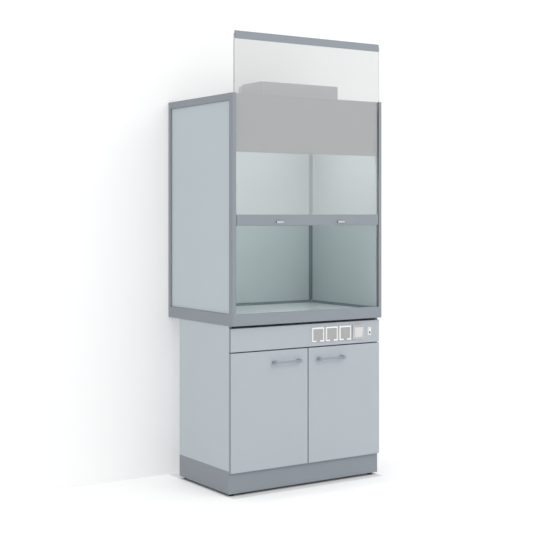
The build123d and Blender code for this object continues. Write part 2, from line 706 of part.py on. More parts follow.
def door():
    """Left door, bored from behind for its hinge cups."""
    leaf = bevelled(box(CABINET_LEFT, -DOOR_SPLIT / 2, DOOR_FACE, DOOR_BACK, DOOR_BOTTOM, DOOR_TOP))
    for x, z in cup_places():
        leaf -= bar_y(CUP_RADIUS + CUP_CLEARANCE, x, DOOR_BACK - CUP_DEPTH, DOOR_BACK, z)
    return leaf


def hinge_cups():
    """Cups of the left door's hinges: shallow bowls let into its back."""
    cups = []
    for x, z in cup_places():
        bowl = bar_y(CUP_RADIUS, x, DOOR_BACK - CUP_DEPTH, DOOR_BACK, z)
        cups.append(
            bowl - bar_y(CUP_RADIUS - CUP_WALL, x, DOOR_BACK - CUP_DEPTH + CUP_WALL, DOOR_BACK, z)
        )
    return cups


def hinge_arms():
    """Arms of the hinges: a plate on the side board and an arm that reaches into the cup."""
    arms = []
    x, root = CABINET_INNER, CABINET_INNER + ARM_PLATE
    nose, end = DOOR_BACK - CUP_DEPTH / 2, CABINET_FRONT + ARM_LENGTH
    outer, inner = x + ARM_RISE, x + ARM_RISE - ARM_THICKNESS
    near, far = x + ARM_NOSE[0], x + ARM_NOSE[1]
    outline = polygon(
        (root, end - ARM_PLATE_LENGTH), (root, end), (inner, end),
        (outer, end - ARM_PLATE_LENGTH / 2), (outer, CABINET_FRONT + ARM_THICKNESS / 2),
        (far, nose), (near, nose), (inner, CABINET_FRONT + ARM_THICKNESS),
        (inner, end - ARM_PLATE_LENGTH),
    )
    for z in HINGE_HEIGHTS:
        plate = box(
            x, root, end - ARM_PLATE_LENGTH, end, z - ARM_PLATE_HEIGHT / 2, z + ARM_PLATE_HEIGHT / 2
        )
        arms += pair(plate + along_z(outline, z - ARM_HEIGHT / 2, z + ARM_HEIGHT / 2))
    return arms


def door_handle():
    """Bridge handle of the left door: two round posts and a thinner bar between them."""
    right = -HANDLE_FROM_SPLIT
    tip = DOOR_FACE - HANDLE_PROJECTION
    handle = None
    for x in (right - HANDLE_SPAN, right):
        post = bar_y(HANDLE_POST_RADIUS, x, tip, DOOR_FACE, HANDLE_Z)
        post = fillet(post.edges().sort_by(Axis.Y)[0], HANDLE_ROUNDING)
        handle = post if handle is None else handle + post
    bar_line = tip + 2 * HANDLE_ROUNDING + HANDLE_BAR_RADIUS
    return handle + bar_x(HANDLE_BAR_RADIUS, right - HANDLE_SPAN, right, bar_line, HANDLE_Z)


def foot_places():
    xs = (CABINET_LEFT + FOOT_INSET, -CABINET_LEFT - FOOT_INSET)
    ys = (CABINET_FRONT + FOOT_INSET, CABINET_BACK - FOOT_INSET)
    return [(x, y) for x in xs for y in ys]


def plinth():
    """Folded plinth: four thin walls, a flange under the carcase and a gusset at each foot."""
    x0, x1, y0, y1 = CABINET_LEFT, -CABINET_LEFT, CABINET_FRONT, CABINET_BACK
    outline = rectangle(x0, x1, y0, y1)
    t, f = PLINTH_SHEET, PLINTH_FLANGE
    frame = along_z(outline - rectangle(x0 + t, x1 - t, y0 + t, y1 - t), PLINTH_BASE, PLINTH_TOP)
    flange = outline - rectangle(x0 + f, x1 - f, y0 + f, y1 - f)
    frame += along_z(flange, PLINTH_TOP - t, PLINTH_TOP)
    for x, y in foot_places():
        gx, gy = (x0 if x < 0 else x1 - GUSSET), (y0 if y < (y0 + y1) / 2 else y1 - GUSSET)
        frame += box(gx, gx + GUSSET, gy, gy + GUSSET, GUSSET_Z, GUSSET_Z + PLINTH_SHEET)
        frame += bar_z(GUSSET_BOSS_RADIUS, x, y, GUSSET_Z, GUSSET_Z + GUSSET_BOSS_HEIGHT)
        frame -= bar_z(STEM_RADIUS + STEM_CLEARANCE, x, y, PLINTH_BASE, PLINTH_TOP - t)
    return frame


def levelling_feet():
    """Four screw feet: a round pad, a collar and a stem up through the gusset."""
    feet = []
    for x, y in foot_places():
        foot = bar_z(FOOT_RADIUS, x, y, 0, FOOT_HEIGHT)
        foot = chamfer(foot.edges().sort_by(Axis.Z)[-1], FOOT_BEVEL)
        foot += bar_z(FOOT_NUT_RADIUS, x, y, FOOT_HEIGHT, PLINTH_BASE + FOOT_HEIGHT)
        feet.append(foot + bar_z(STEM_RADIUS, x, y, PLINTH_BASE, STEM_TOP))
    return feet


def faceplate(x, window_width, window_height, floor_y):
    """Square frame on the fascia with a window down to floor_y and a body behind it."""
    outline = Pos(x, SOCKET_CENTRE_Z) * RectangleRounded(FRAME_SIZE, FRAME_SIZE, FRAME_RADIUS)
    plate = along_y(outline, FRAME_FRONT, FASCIA_FACE)
    plate = fillet(plate.faces().sort_by(Axis.Y)[0].edges(), FRAME_ROUNDING)
    plate += bar_y(INSERT_RADIUS, x, FASCIA_FACE, FASCIA_FACE + INSERT_DEPTH, SOCKET_CENTRE_Z)
    window = Pos(x, SOCKET_CENTRE_Z) * Rectangle(window_width, window_height)
    return plate - along_y(window, FRAME_FRONT, floor_y)


def socket(x):
    """Socket outlet: its frame, the round recess with two contacts, and the earth clips."""
    window = LID_WIDTH + 2 * LID_GAP
    body = faceplate(x, window, LID_HEIGHT + 2 * LID_GAP, RECESS_FLOOR)
    z = SOCKET_CENTRE_Z
    notch = TAB_WIDTH / 2 + LID_GAP
    body -= box(x - notch, x + notch, FRAME_FRONT, RECESS_FLOOR, z - FRAME_SIZE / 2, z)
    deep = RECESS_FLOOR + RECESS_DEPTH
    body -= bar_y(RECESS_RADIUS, x, RECESS_FLOOR, deep, z)
    for side in (-1, 1):
        contact = x + side * CONTACT_SPACING / 2
        body -= bar_y(CONTACT_RADIUS, contact, deep, deep + CONTACT_DEPTH, z)
        width, length, thickness = EARTH_CLIP
        inner = z + side * (RECESS_RADIUS - thickness)
        outer = z + side * (RECESS_RADIUS + thickness)
        body += box(
            x - width / 2, x + width / 2, deep - length, deep, min(inner, outer), max(inner, outer)
        )
        reach = window / 2 + LID_PIN_LENGTH
        low, high = sorted((x, x + side * reach))
        body -= bar_x(LID_PIN_RADIUS + AXLE_CLEARANCE, low, high, LID_AXIS_Y, LID_AXIS_Z)
    return body


def socket_lid(x):
    """Hinged lid with a rounded top edge about its pins and a finger tab below."""
    half, bottom = LID_WIDTH / 2, SOCKET_CENTRE_Z - LID_HEIGHT / 2
    r = LID_THICKNESS / 2
    lid = box(x - half, x + half, LID_FRONT, LID_BACK, bottom, LID_AXIS_Z)
    lid += bar_x(r, x - half, x + half, LID_AXIS_Y, LID_AXIS_Z)
    tab = rectangle(-TAB_WIDTH / 2, TAB_WIDTH / 2, -TAB_LENGTH, TAB_LENGTH)
    tab = fillet(tab.vertices().group_by(Axis.Y)[0], TAB_RADIUS)
    lid += along_y(Pos(x, bottom) * tab, LID_FRONT, LID_BACK)
    reach = half + LID_GAP + LID_PIN_LENGTH - LID_GAP / 2
    return lid + bar_x(LID_PIN_RADIUS, x - reach, x + reach, LID_AXIS_Y, LID_AXIS_Z)


def main_switch_frame():
    """Frame of the main switch, with a thin floor behind the key and a bore for its pins."""
    gap = 2 * SWITCH_KEY_GAP
    floor_y = FASCIA_FACE - SWITCH_FLOOR
    frame = faceplate(SWITCH_X, SWITCH_KEY_WIDTH + gap, SWITCH_KEY_HEIGHT + gap, floor_y)
    reach = SWITCH_KEY_WIDTH / 2 + SWITCH_KEY_GAP + LID_PIN_LENGTH
    return frame - pivot(SWITCH_X, reach, SWITCH_AXIS_Y, LID_PIN_RADIUS + AXLE_CLEARANCE)


def main_switch_key():
    """Crowned key, drawn in plan and tilted to its resting side about its pins."""
    half = SWITCH_KEY_WIDTH / 2
    edge, back = SWITCH_AXIS_Y - SWITCH_KEY_FRONT, SWITCH_AXIS_Y + SWITCH_KEY_BACK
    crown = ThreePointArc((-half, edge), (0, edge - SWITCH_KEY_CROWN), (half, edge))
    section = make_face(crown + Polyline((half, edge), (half, back), (-half, back), (-half, edge)))
    low, high = SOCKET_CENTRE_Z - SWITCH_KEY_HEIGHT / 2, SOCKET_CENTRE_Z + SWITCH_KEY_HEIGHT / 2
    key = along_z(Pos(SWITCH_X, 0) * section, low, high)
    reach = half + SWITCH_KEY_GAP + LID_PIN_LENGTH / 2
    key += pivot(SWITCH_X, reach, SWITCH_AXIS_Y, LID_PIN_RADIUS)
    return tilted(key, SWITCH_AXIS_Y, SWITCH_TILT)


def pivot(x, reach, y, radius):
    """Pins of a key, or the bore for them, across the key at mid-height."""
    return bar_x(radius, x - reach, x + reach, y, SOCKET_CENTRE_Z)


def tilted(key, axis_y, angle):
    """Turns a key about its pins."""
    axis = Axis((0, axis_y, SOCKET_CENTRE_Z), (1, 0, 0))
    return key.rotate(axis, angle)


def rocker_bezel():
    """Narrow bezel of the lamp switch, with its body through the fascia."""
    place = Pos(ROCKER_CENTRE_X, SOCKET_CENTRE_Z)
    face = FASCIA_FACE - ROCKER_BEZEL_DEPTH
    flange = along_y(place * RectangleRounded(*ROCKER_BEZEL, ROCKER_BEZEL_RADIUS), face, FASCIA_FACE)
    bezel = fillet(flange.faces().sort_by(Axis.Y)[0].edges(), ROCKER_BEZEL_ROUNDING)
    bezel += along_y(place * Rectangle(*ROCKER_BODY), FASCIA_FACE, FASCIA_FACE + ROCKER_BODY_DEPTH)
    width, height = (size + 2 * ROCKER_KEY_GAP for size in ROCKER_KEY)
    bezel -= along_y(place * Rectangle(width, height), face, ROCKER_AXIS_Y + ROCKER_KEY_DEPTH)
    reach = ROCKER_BODY[0] / 2
    return bezel - pivot(ROCKER_CENTRE_X, reach, ROCKER_AXIS_Y, ROCKER_PIN_RADIUS + AXLE_CLEARANCE)


def rocker_key():
    """Rocker with two faces that meet in a shallow valley, tilted to its resting side."""
    width, height = ROCKER_KEY
    tip, waist = height / 2, height / 2 - ROCKER_KEY_TAPER
    front = ROCKER_AXIS_Y - ROCKER_KEY_DEPTH
    outline = polygon(
        (front, -tip), (front + ROCKER_KEY_VALLEY, 0), (front, tip), (ROCKER_AXIS_Y, waist),
        (ROCKER_AXIS_Y + ROCKER_KEY_DEPTH / 2, 0), (ROCKER_AXIS_Y, -waist),
    )
    x0, x1 = ROCKER_CENTRE_X - width / 2, ROCKER_CENTRE_X + width / 2
    key = along_x(Pos(0, SOCKET_CENTRE_Z) * outline, x0, x1)
    key += pivot(ROCKER_CENTRE_X, ROCKER_BODY[0] / 2, ROCKER_AXIS_Y, ROCKER_PIN_RADIUS)
    return tilted(key, ROCKER_AXIS_Y, ROCKER_TILT)


def write(name, shape):
    """Writes one solid, or a list of separate solids, as a node of the assembly."""
    solids = shape if isinstance(shape, list) else [shape]
    solids = [solid for piece in solids for solid in piece.solids()]
    export_step(solids[0] if len(solids) == 1 else Compound(solids), f"parts/{name}.step")


MIRRORED = {
    "front_post": front_post,
    "rear_post": rear_post,
    "top_rail": top_rail,
    "bottom_rail": bottom_rail,
    "side_panel": side_panel,
    "liner": liner_side,
    "cabinet_side": cabinet_side,
    "door": door,
    "door_handle": door_handle,
    "pulley_front": lambda: pulley(FRONT_PULLEY_Y),
    "pulley_rear": lambda: pulley(REAR_PULLEY_Y),
}

SINGLE = {
    "top_rail_rear": top_rail_rear,
    "bottom_rail_front": bottom_rail_front,
    "bottom_rail_rear": bottom_rail_rear,
    "liner_back": liner_back,
    "back_panel": back_panel,
    "roof_panel": roof_panel,
    "transom_panel": transom_panel,
    "worktop": worktop,
    "chamber_trims": chamber_trims,
    "exhaust_spigot": exhaust_spigot,
    "lamp_housing": lamp_housing,
    "lamp_diffuser": lamp_diffuser,
    "sash_glass": sash_glass,
    "sash_top_rail": sash_top_rail,
    "sash_handle_rail": sash_handle_rail,
    "finger_pulls": finger_pulls,
    "sash_cables_front": cables_front,
    "sash_cables_top": cables_top,
    "sash_cables_rear": cables_rear,
    "counterweight": counterweight,
    "cabinet_bottom": cabinet_bottom,
    "cabinet_top": cabinet_top,
    "cabinet_back": cabinet_back,
    "shelf": shelf,
    "fascia": fascia,
    "hinge_arms": hinge_arms,
    "plinth": plinth,
    "levelling_feet": levelling_feet,
    "main_switch_frame": main_switch_frame,
    "main_switch_key": main_switch_key,
    "rocker_bezel": rocker_bezel,
    "rocker_key": rocker_key,
}


def main():
    os.makedirs("parts", exist_ok=True)
    for name, make in MIRRORED.items():
        piece = make()
        write(name + "_left", piece)
        write(name + "_right", other_side(piece))
    cups = hinge_cups()
    write("hinge_cups_left", cups)
    write("hinge_cups_right", [other_side(cup) for cup in cups])
    for name, make in SINGLE.items():
        write(name, make())
    write("sockets", [socket(x) for x in SOCKET_XS])
    for place, x in zip(("left", "middle", "right"), SOCKET_XS):
        write("socket_lid_" + place, socket_lid(x))


main()
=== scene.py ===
import json
import math

import bmesh
import bpy
from bpy.props import FloatProperty, FloatVectorProperty, IntProperty, PointerProperty
from mathutils import Matrix, Vector


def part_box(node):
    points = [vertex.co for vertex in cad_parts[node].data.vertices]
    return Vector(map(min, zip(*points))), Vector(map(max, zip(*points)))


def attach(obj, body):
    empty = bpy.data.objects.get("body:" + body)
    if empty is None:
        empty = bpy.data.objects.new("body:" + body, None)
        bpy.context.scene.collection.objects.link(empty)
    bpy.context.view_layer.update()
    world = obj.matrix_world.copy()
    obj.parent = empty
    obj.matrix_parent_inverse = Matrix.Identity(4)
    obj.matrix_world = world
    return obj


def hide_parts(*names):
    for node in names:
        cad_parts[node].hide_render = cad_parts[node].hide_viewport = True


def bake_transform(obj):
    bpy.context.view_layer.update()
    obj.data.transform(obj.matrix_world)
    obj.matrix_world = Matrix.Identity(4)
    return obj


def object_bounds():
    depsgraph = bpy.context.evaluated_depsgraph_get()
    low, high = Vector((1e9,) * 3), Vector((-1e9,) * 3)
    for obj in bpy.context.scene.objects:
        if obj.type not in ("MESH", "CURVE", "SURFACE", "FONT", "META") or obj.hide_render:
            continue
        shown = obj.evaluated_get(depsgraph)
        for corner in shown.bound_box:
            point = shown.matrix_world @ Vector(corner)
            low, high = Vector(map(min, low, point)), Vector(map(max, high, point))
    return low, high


bl_info = {
    "name": "Fume Hood Dresser",
    "version": (1, 0, 0),
    "blender": (4, 5, 0),
    "location": "View3D > Sidebar > Fume Hood",
    "description": "Finishes and small pieces for a fume hood on its base cabinet",
    "category": "Object",
}

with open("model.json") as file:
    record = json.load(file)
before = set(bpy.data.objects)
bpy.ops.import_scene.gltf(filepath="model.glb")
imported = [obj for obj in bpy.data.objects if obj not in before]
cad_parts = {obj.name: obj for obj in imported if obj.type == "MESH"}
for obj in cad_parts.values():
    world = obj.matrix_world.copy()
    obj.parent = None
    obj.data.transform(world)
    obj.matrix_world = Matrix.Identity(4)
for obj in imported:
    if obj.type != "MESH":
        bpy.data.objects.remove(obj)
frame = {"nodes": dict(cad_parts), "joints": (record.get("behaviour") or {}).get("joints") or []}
CAD_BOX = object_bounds()
NODES = frame["nodes"]
JOINTS = {joint["name"]: joint for joint in frame["joints"]}
MM = 0.001

SHARP_ANGLE = math.radians(35)  # faces that meet at more than this keep a sharp edge
GRAIN_DEPTH = 0.2 * MM
FINE_GRAIN_DEPTH = 0.1 * MM
GROUND_WHITE = (0.86, 0.86, 0.86, 1)


def shade(red, green, blue):
    """A colour given as 0 to 255 display values, as the linear colour that Blender keeps."""
    def linear(value):
        value /= 255.0
        return value / 12.92 if value <= 0.04045 else ((value + 0.055) / 1.055) ** 2.4
    return linear(red), linear(green), linear(blue)


def colour(name, description, default):
    return FloatVectorProperty(
        name=name, description=description, default=default,
        subtype="COLOR", size=3, min=0.0, max=1.0,
    )


def length(name, description, default):
    return FloatProperty(
        name=name, description=description, default=default, min=0.0, unit="LENGTH", precision=4
    )


class HoodFinishes(bpy.types.PropertyGroup):
    """Colours of the hood's finishes."""

    frame_paint: colour("Frame paint", "Powder coat of the posts and rails", shade(144, 151, 158))
    panel_paint: colour("Side panels", "Finish of the side and back panels", shade(192, 202, 207))
    liner: colour("Chamber liner", "Laminate inside the chamber", shade(179, 189, 191))
    transom: colour("Transom", "Painted sheet behind the sash", shade(141, 143, 145))
    housing: colour("Lamp housing", "Painted sheet of the lamp housing", shade(160, 164, 167))
    worktop: colour("Worktop", "Floor of the chamber", shade(190, 199, 201))
    trim: colour("Cove trims", "Dark trims in the chamber's corners", shade(115, 125, 132))
    # painted light and shade: doors and carcase are one laminate, drawn darker on the fronts and
    # lighter on the sides for how the lamps light them
    door: colour("Door laminate", "Front faces of the doors and the fascia", shade(181, 188, 194))
    carcase: colour("Carcase laminate", "Sides and inside of the cabinet", shade(191, 200, 205))
    # painted shade: the edge band is drawn darker than the faces, partly for the shade in the gaps
    # beside the doors
    edge_band_and_shade: colour("Edge band", "Band round the edges of the boards", shade(143, 154, 158))
    plinth: colour("Plinth paint", "Painted sheet of the plinth", shade(144, 151, 158))
    glass: colour("Glass", "Tint of the sash glass", shade(243, 244, 244))
    # painted shade: the glass is drawn darker in a band along its upright edges, beside the posts
    glass_edge_shade: colour("Glass edge", "Tint of the sash glass along its edges", shade(226, 230, 230))
    handle: colour("Door handles", "Satin paint of the door handles", shade(156, 159, 168))
    white_plastic: colour("White plastic", "Socket frames and lamp switch", shade(250, 250, 249))
    switch_frame: colour("Switch frame", "Frame of the main switch", shade(197, 196, 197))
    switch_key: colour("Switch key", "Key of the main switch", shade(220, 219, 219))
    lid_plastic: colour("Lid plastic", "Hinged socket lids", shade(172, 173, 173))
    window_green: colour("Indicator", "Window in the lamp switch", shade(22, 84, 86))


class HoodSizes(bpy.types.PropertyGroup):
    """Sizes of the small pieces that the frame doesn't hold."""

    bead_width: length("Gasket width", "Width of the bead round a side panel", 1.4 * MM)
    bead_height: length("Gasket height", "How far the bead stands off the panel", 1.6 * MM)
    screw_head: length("Screw head", "Radius of the pan heads on sheet metal", 4.2 * MM)
    screw_height: length("Screw height", "Height of the pan heads", 2.0 * MM)
    screw_pitch: length("Screw pitch", "Largest distance between panel screws", 250 * MM)
    edge_margin: length("Screw margin", "Distance from a panel's edge to its screws", 11 * MM)
    cable_radius: length("Cable radius", "Radius over the strands", 1.25 * MM)
    cable_strands: IntProperty(name="Strands", description="Strands that show round a cable",
                               default=6, min=3, max=12)
    ferrule_radius: length("Ferrule radius", "Radius of the swaged cable ends", 2.2 * MM)
    ferrule_length: length("Ferrule length", "Length of the swaged cable ends", 13 * MM)
    tube_radius: length("Lamp tube radius", "Radius of the lamp's tube", 8 * MM)
    tube_length: length("Lamp tube length", "Length of the lamp's tube", 430 * MM)
    # width of the band of painted shade along the glass's upright edges
    glass_shade_band: length("Glass edge band", "Width of the darker band along the glass edges", 6 * MM)


class HoodStudio(bpy.types.PropertyGroup):
    """Camera, lamps and ground."""

    camera_place: FloatVectorProperty(
        name="Camera place", description="Where the camera stands", subtype="TRANSLATION", size=3,
        default=(-3.8316, -5.7659, 1.5451),
    )
    camera_turn: FloatProperty(
        name="Camera turn", description="How far the camera looks to the right of the front",
        subtype="ANGLE", default=0.586,
    )
    camera_lens: FloatProperty(
        name="Focal length", description="Focal length on a 36 mm sensor", default=76.73, min=1.0
    )
    camera_shift: FloatProperty(
        name="Vertical shift", description="Shift that puts the horizon above the middle",
        default=-0.11225,
    )
    ground_size: length("Ground size", "Half the width of the floor and the wall", 14.0)
    wall_gap: length("Wall gap", "Distance from the hood's back to the wall", 1.5 * MM)
    room_light: FloatProperty(
        name="Room light", description="Strength of the even light from all round",
        default=0.93, min=0.0,
    )
    key_place: FloatVectorProperty(
        name="Key place", description="Where the large lamp hangs", subtype="TRANSLATION", size=3,
        default=(1.5, -5.0, 4.6),
    )
    key_target: FloatVectorProperty(
        name="Key target", description="Where the large lamp points", subtype="TRANSLATION", size=3,
        default=(0.0, 0.0, 1.3),
    )
    key_light: FloatProperty(
        name="Key light", description="Power of the large lamp in front", subtype="POWER",
        default=75.0, min=0.0,
    )
    ground_glow: FloatProperty(
        name="Ground glow", description="Light that keeps the ground white in the picture",
        default=0.20, min=0.0,
    )
    lamp_glow: FloatProperty(
        name="Lamp glow", description="Strength of the lit diffuser", default=24.0, min=0.0
    )


def finishes():
    return bpy.context.scene.hood_finishes


def sizes():
    return bpy.context.scene.hood_sizes


def studio():
    return bpy.context.scene.hood_studio


# Shader node groups

def new_group(name, inputs, outputs):
    """A shader node group with its sockets, and its input and output nodes."""
    group = bpy.data.node_groups.new(name, "ShaderNodeTree")
    for label, kind, default in inputs:
        socket = group.interface.new_socket(name=label, in_out="INPUT", socket_type=kind)
        socket.default_value = default
    for label, kind in outputs:
        group.interface.new_socket(name=label, in_out="OUTPUT", socket_type=kind)
    return group, group.nodes.new("NodeGroupInput"), group.nodes.new("NodeGroupOutput")


def node(tree, kind, **values):
    """Adds a node. Its properties are given by name, and its inputs as in_NAME."""
    made = tree.nodes.new(kind)
    for key, value in values.items():
        if key.startswith("in_"):
            made.inputs[key[3:].replace("_", " ")].default_value = value
        else:
            setattr(made, key, value)
    return made


def calculate(tree, operation, first, second):
    """A maths node. Each operand is a socket or a number."""
    made = tree.nodes.new("ShaderNodeMath")
    made.operation = operation
    for socket, value in zip(made.inputs, (first, second)):
        if isinstance(value, (int, float)):
            socket.default_value = value
        elif value is not None:
            tree.links.new(value, socket)
    return made.outputs[0]


def object_place(tree):
    return tree.nodes.new("ShaderNodeTexCoord").outputs["Object"]


def uneven_tone():
    """Slow changes of tone over a large face, as sheets and boards have."""
    group, given, result = new_group(
        "Uneven Tone",
        [("Color", "NodeSocketColor", (0.5, 0.5, 0.5, 1)), ("Variation", "NodeSocketFloat", 0.04),
         ("Scale", "NodeSocketFloat", 3.0)],
        [("Color", "NodeSocketColor"), ("Mask", "NodeSocketFloat")],
    )
    noise = node(group, "ShaderNodeTexNoise", in_Detail=3.0, in_Roughness=0.55)
    group.links.new(object_place(group), noise.inputs["Vector"])
    group.links.new(given.outputs["Scale"], noise.inputs["Scale"])
    centred = calculate(group, "SUBTRACT", noise.outputs["Fac"], 0.5)
    spread = calculate(group, "MULTIPLY", centred, given.outputs["Variation"])
    value = calculate(group, "ADD", calculate(group, "MULTIPLY", spread, 2.0), 1.0)
    tone = group.nodes.new("ShaderNodeHueSaturation")
    group.links.new(value, tone.inputs["Value"])
    group.links.new(given.outputs["Color"], tone.inputs["Color"])
    group.links.new(tone.outputs["Color"], result.inputs["Color"])
    group.links.new(noise.outputs["Fac"], result.inputs["Mask"])
    return group


def fine_grain():
    """Small bumps of a powder coat, a moulding or a stippled laminate."""
    group, given, result = new_group(
        "Fine Grain",
        [("Scale", "NodeSocketFloat", 900.0), ("Crispness", "NodeSocketFloat", 0.3)],
        [("Height", "NodeSocketFloat")],
    )
    place = object_place(group)
    soft = node(group, "ShaderNodeTexNoise", in_Detail=2.0, in_Roughness=0.5)
    cells = node(group, "ShaderNodeTexVoronoi")
    for texture in (soft, cells):
        group.links.new(place, texture.inputs["Vector"])
        group.links.new(given.outputs["Scale"], texture.inputs["Scale"])
    blend = node(group, "ShaderNodeMix", data_type="FLOAT")
    group.links.new(given.outputs["Crispness"], blend.inputs[0])
    group.links.new(soft.outputs["Fac"], blend.inputs[2])
    group.links.new(cells.outputs["Distance"], blend.inputs[3])
    group.links.new(blend.outputs[0], result.inputs["Height"])
    return group


def brushed_lines():
    """Fine parallel lines of brushed or drawn metal, along the axis with the small stretch."""
    group, given, result = new_group(
        "Brushed Lines",
        [("Stretch", "NodeSocketVector", (4.0, 900.0, 900.0)),
         ("Contrast", "NodeSocketFloat", 0.5)],
        [("Height", "NodeSocketFloat"), ("Roughness", "NodeSocketFloat")],
    )
    scaled = node(group, "ShaderNodeVectorMath", operation="MULTIPLY")
    group.links.new(object_place(group), scaled.inputs[0])
    group.links.new(given.outputs["Stretch"], scaled.inputs[1])
    noise = node(group, "ShaderNodeTexNoise", in_Scale=1.0, in_Detail=2.0)
    group.links.new(scaled.outputs["Vector"], noise.inputs["Vector"])
    centred = calculate(group, "SUBTRACT", noise.outputs["Fac"], 0.5)
    varied = calculate(group, "MULTIPLY", centred, given.outputs["Contrast"])
    group.links.new(noise.outputs["Fac"], result.inputs["Height"])
    group.links.new(calculate(group, "ADD", varied, 0.32), result.inputs["Roughness"])
    return group


def board_faces():
    """Tells a board's broad faces from the band round its edges, by the way that they face. The
    band is drawn darker, partly as painted shade.
    """
    group, given, result = new_group(
        "Board Faces",
        [("Face Color", "NodeSocketColor", (0.5, 0.5, 0.5, 1)),
         ("Band Color", "NodeSocketColor", (0.3, 0.3, 0.3, 1)),
         ("Facing", "NodeSocketVector", (0.0, 1.0, 0.0))],
        [("Color", "NodeSocketColor")],
    )
    facing = node(group, "ShaderNodeVectorMath", operation="DOT_PRODUCT")
    group.links.new(group.nodes.new("ShaderNodeTexCoord").outputs["Normal"], facing.inputs[0])
    group.links.new(given.outputs["Facing"], facing.inputs[1])
    flat = calculate(group, "ABSOLUTE", facing.outputs["Value"], None)
    mask = calculate(group, "GREATER_THAN", flat, 0.85)
    blend = node(group, "ShaderNodeMix", data_type="RGBA")
    group.links.new(mask, blend.inputs[0])
    group.links.new(given.outputs["Band Color"], blend.inputs[6])
    group.links.new(given.outputs["Face Color"], blend.inputs[7])
    group.links.new(blend.outputs[2], result.inputs["Color"])
    return group


GROUPS = {
    "Uneven Tone": uneven_tone,
    "Fine Grain": fine_grain,
    "Brushed Lines": brushed_lines,
    "Board Faces": board_faces,
}


def placed_group(tree, name, **values):
    """Places a node group in a material, making the group the first time."""
    made = tree.nodes.new("ShaderNodeGroup")
    made.node_tree = bpy.data.node_groups.get(name) or GROUPS[name]()
    for key, value in values.items():
        made.inputs[key.replace("_", " ")].default_value = value
    return made


# Materials

def new_material(name, base=None, **values):
    """A material with a Principled shader. Values are set on the shader's own sockets."""
    material = bpy.data.materials.new(name)
    material.use_nodes = True
    shader = material.node_tree.nodes["Principled BSDF"]
    if base is not None:
        shader.inputs["Base Color"].default_value = (*base, 1.0)
    for key, value in values.items():
        shader.inputs[key.replace("_", " ")].default_value = value
    return material, material.node_tree, shader


def add_bump(tree, shader, height, strength, distance):
    bump = node(tree, "ShaderNodeBump", in_Strength=strength, in_Distance=distance)
    tree.links.new(height, bump.inputs["Height"])
    tree.links.new(bump.outputs["Normal"], shader.inputs["Normal"])


def add_tone(tree, shader, base, variation, scale):
    tone = placed_group(tree, "Uneven Tone", Color=(*base, 1.0), Variation=variation, Scale=scale)
    tree.links.new(tone.outputs["Color"], shader.inputs["Base Color"])
    return tone


def add_roughness(tree, shader, mask, low, high):
    """Lets the roughness follow a mask between two values."""
    spread = node(tree, "ShaderNodeMapRange")
    spread.inputs["To Min"].default_value = low
    spread.inputs["To Max"].default_value = high
    tree.links.new(mask, spread.inputs["Value"])
    tree.links.new(spread.outputs["Result"], shader.inputs["Roughness"])


def paint(name, base, grain_scale=1100.0, bump=0.12, gloss=(0.40, 0.52), variation=0.03):
    """Satin powder coat with its fine orange peel."""
    material, tree, shader = new_material(name, Specular_IOR_Level=0.35)
    tone = add_tone(tree, shader, base, variation, 2.2)
    add_roughness(tree, shader, tone.outputs["Mask"], *gloss)
    grain = placed_group(tree, "Fine Grain", Scale=grain_scale, Crispness=0.25)
    add_bump(tree, shader, grain.outputs["Height"], bump, GRAIN_DEPTH)
    return material


def laminate(name, facing, base="carcase"):
    """Melamine board: a stippled face, and a plain band round its edges, drawn darker partly as
    painted shade.
    """
    base, band_and_shade = getattr(finishes(), base), finishes().edge_band_and_shade
    material, tree, shader = new_material(name, Specular_IOR_Level=0.3)
    faces = placed_group(tree, "Board Faces", Band_Color=(*band_and_shade, 1.0), Facing=facing)
    # the door and carcase tones are one laminate, painted in two tones for light and shade
    tone = placed_group(tree, "Uneven Tone", Color=(*base, 1.0), Variation=0.025, Scale=2.5)
    tree.links.new(tone.outputs["Color"], faces.inputs["Face Color"])
    tree.links.new(faces.outputs["Color"], shader.inputs["Base Color"])
    add_roughness(tree, shader, tone.outputs["Mask"], 0.42, 0.5)
    grain = placed_group(tree, "Fine Grain", Scale=700.0, Crispness=0.6)
    add_bump(tree, shader, grain.outputs["Height"], 0.1, GRAIN_DEPTH)
    return material


def moulding(name, base, gloss=(0.26, 0.34), bump=0.05):
    """Moulded plastic with a faint texture."""
    material, tree, shader = new_material(name, IOR=1.5, Specular_IOR_Level=0.4)
    tone = add_tone(tree, shader, base, 0.015, 40.0)
    add_roughness(tree, shader, tone.outputs["Mask"], *gloss)
    grain = placed_group(tree, "Fine Grain", Scale=2400.0, Crispness=0.2)
    add_bump(tree, shader, grain.outputs["Height"], bump, FINE_GRAIN_DEPTH)
    return material


def metal(name, base, stretch, contrast=0.25):
    """Brushed or drawn metal."""
    material, tree, shader = new_material(name, Metallic=1.0)
    add_tone(tree, shader, base, 0.05, 12.0)
    lines = placed_group(tree, "Brushed Lines", Stretch=stretch, Contrast=contrast)
    tree.links.new(lines.outputs["Roughness"], shader.inputs["Roughness"])
    add_bump(tree, shader, lines.outputs["Height"], 0.06, FINE_GRAIN_DEPTH)
    return material


def polished(name, base):
    """Chrome plate with the faint unevenness of a plated pressing."""
    material, tree, shader = new_material(name, Metallic=1.0)
    tone = add_tone(tree, shader, base, 0.03, 60.0)
    add_roughness(tree, shader, tone.outputs["Mask"], 0.06, 0.16)
    grain = placed_group(tree, "Fine Grain", Scale=500.0, Crispness=0.0)
    add_bump(tree, shader, grain.outputs["Height"], 0.03, FINE_GRAIN_DEPTH)
    return material


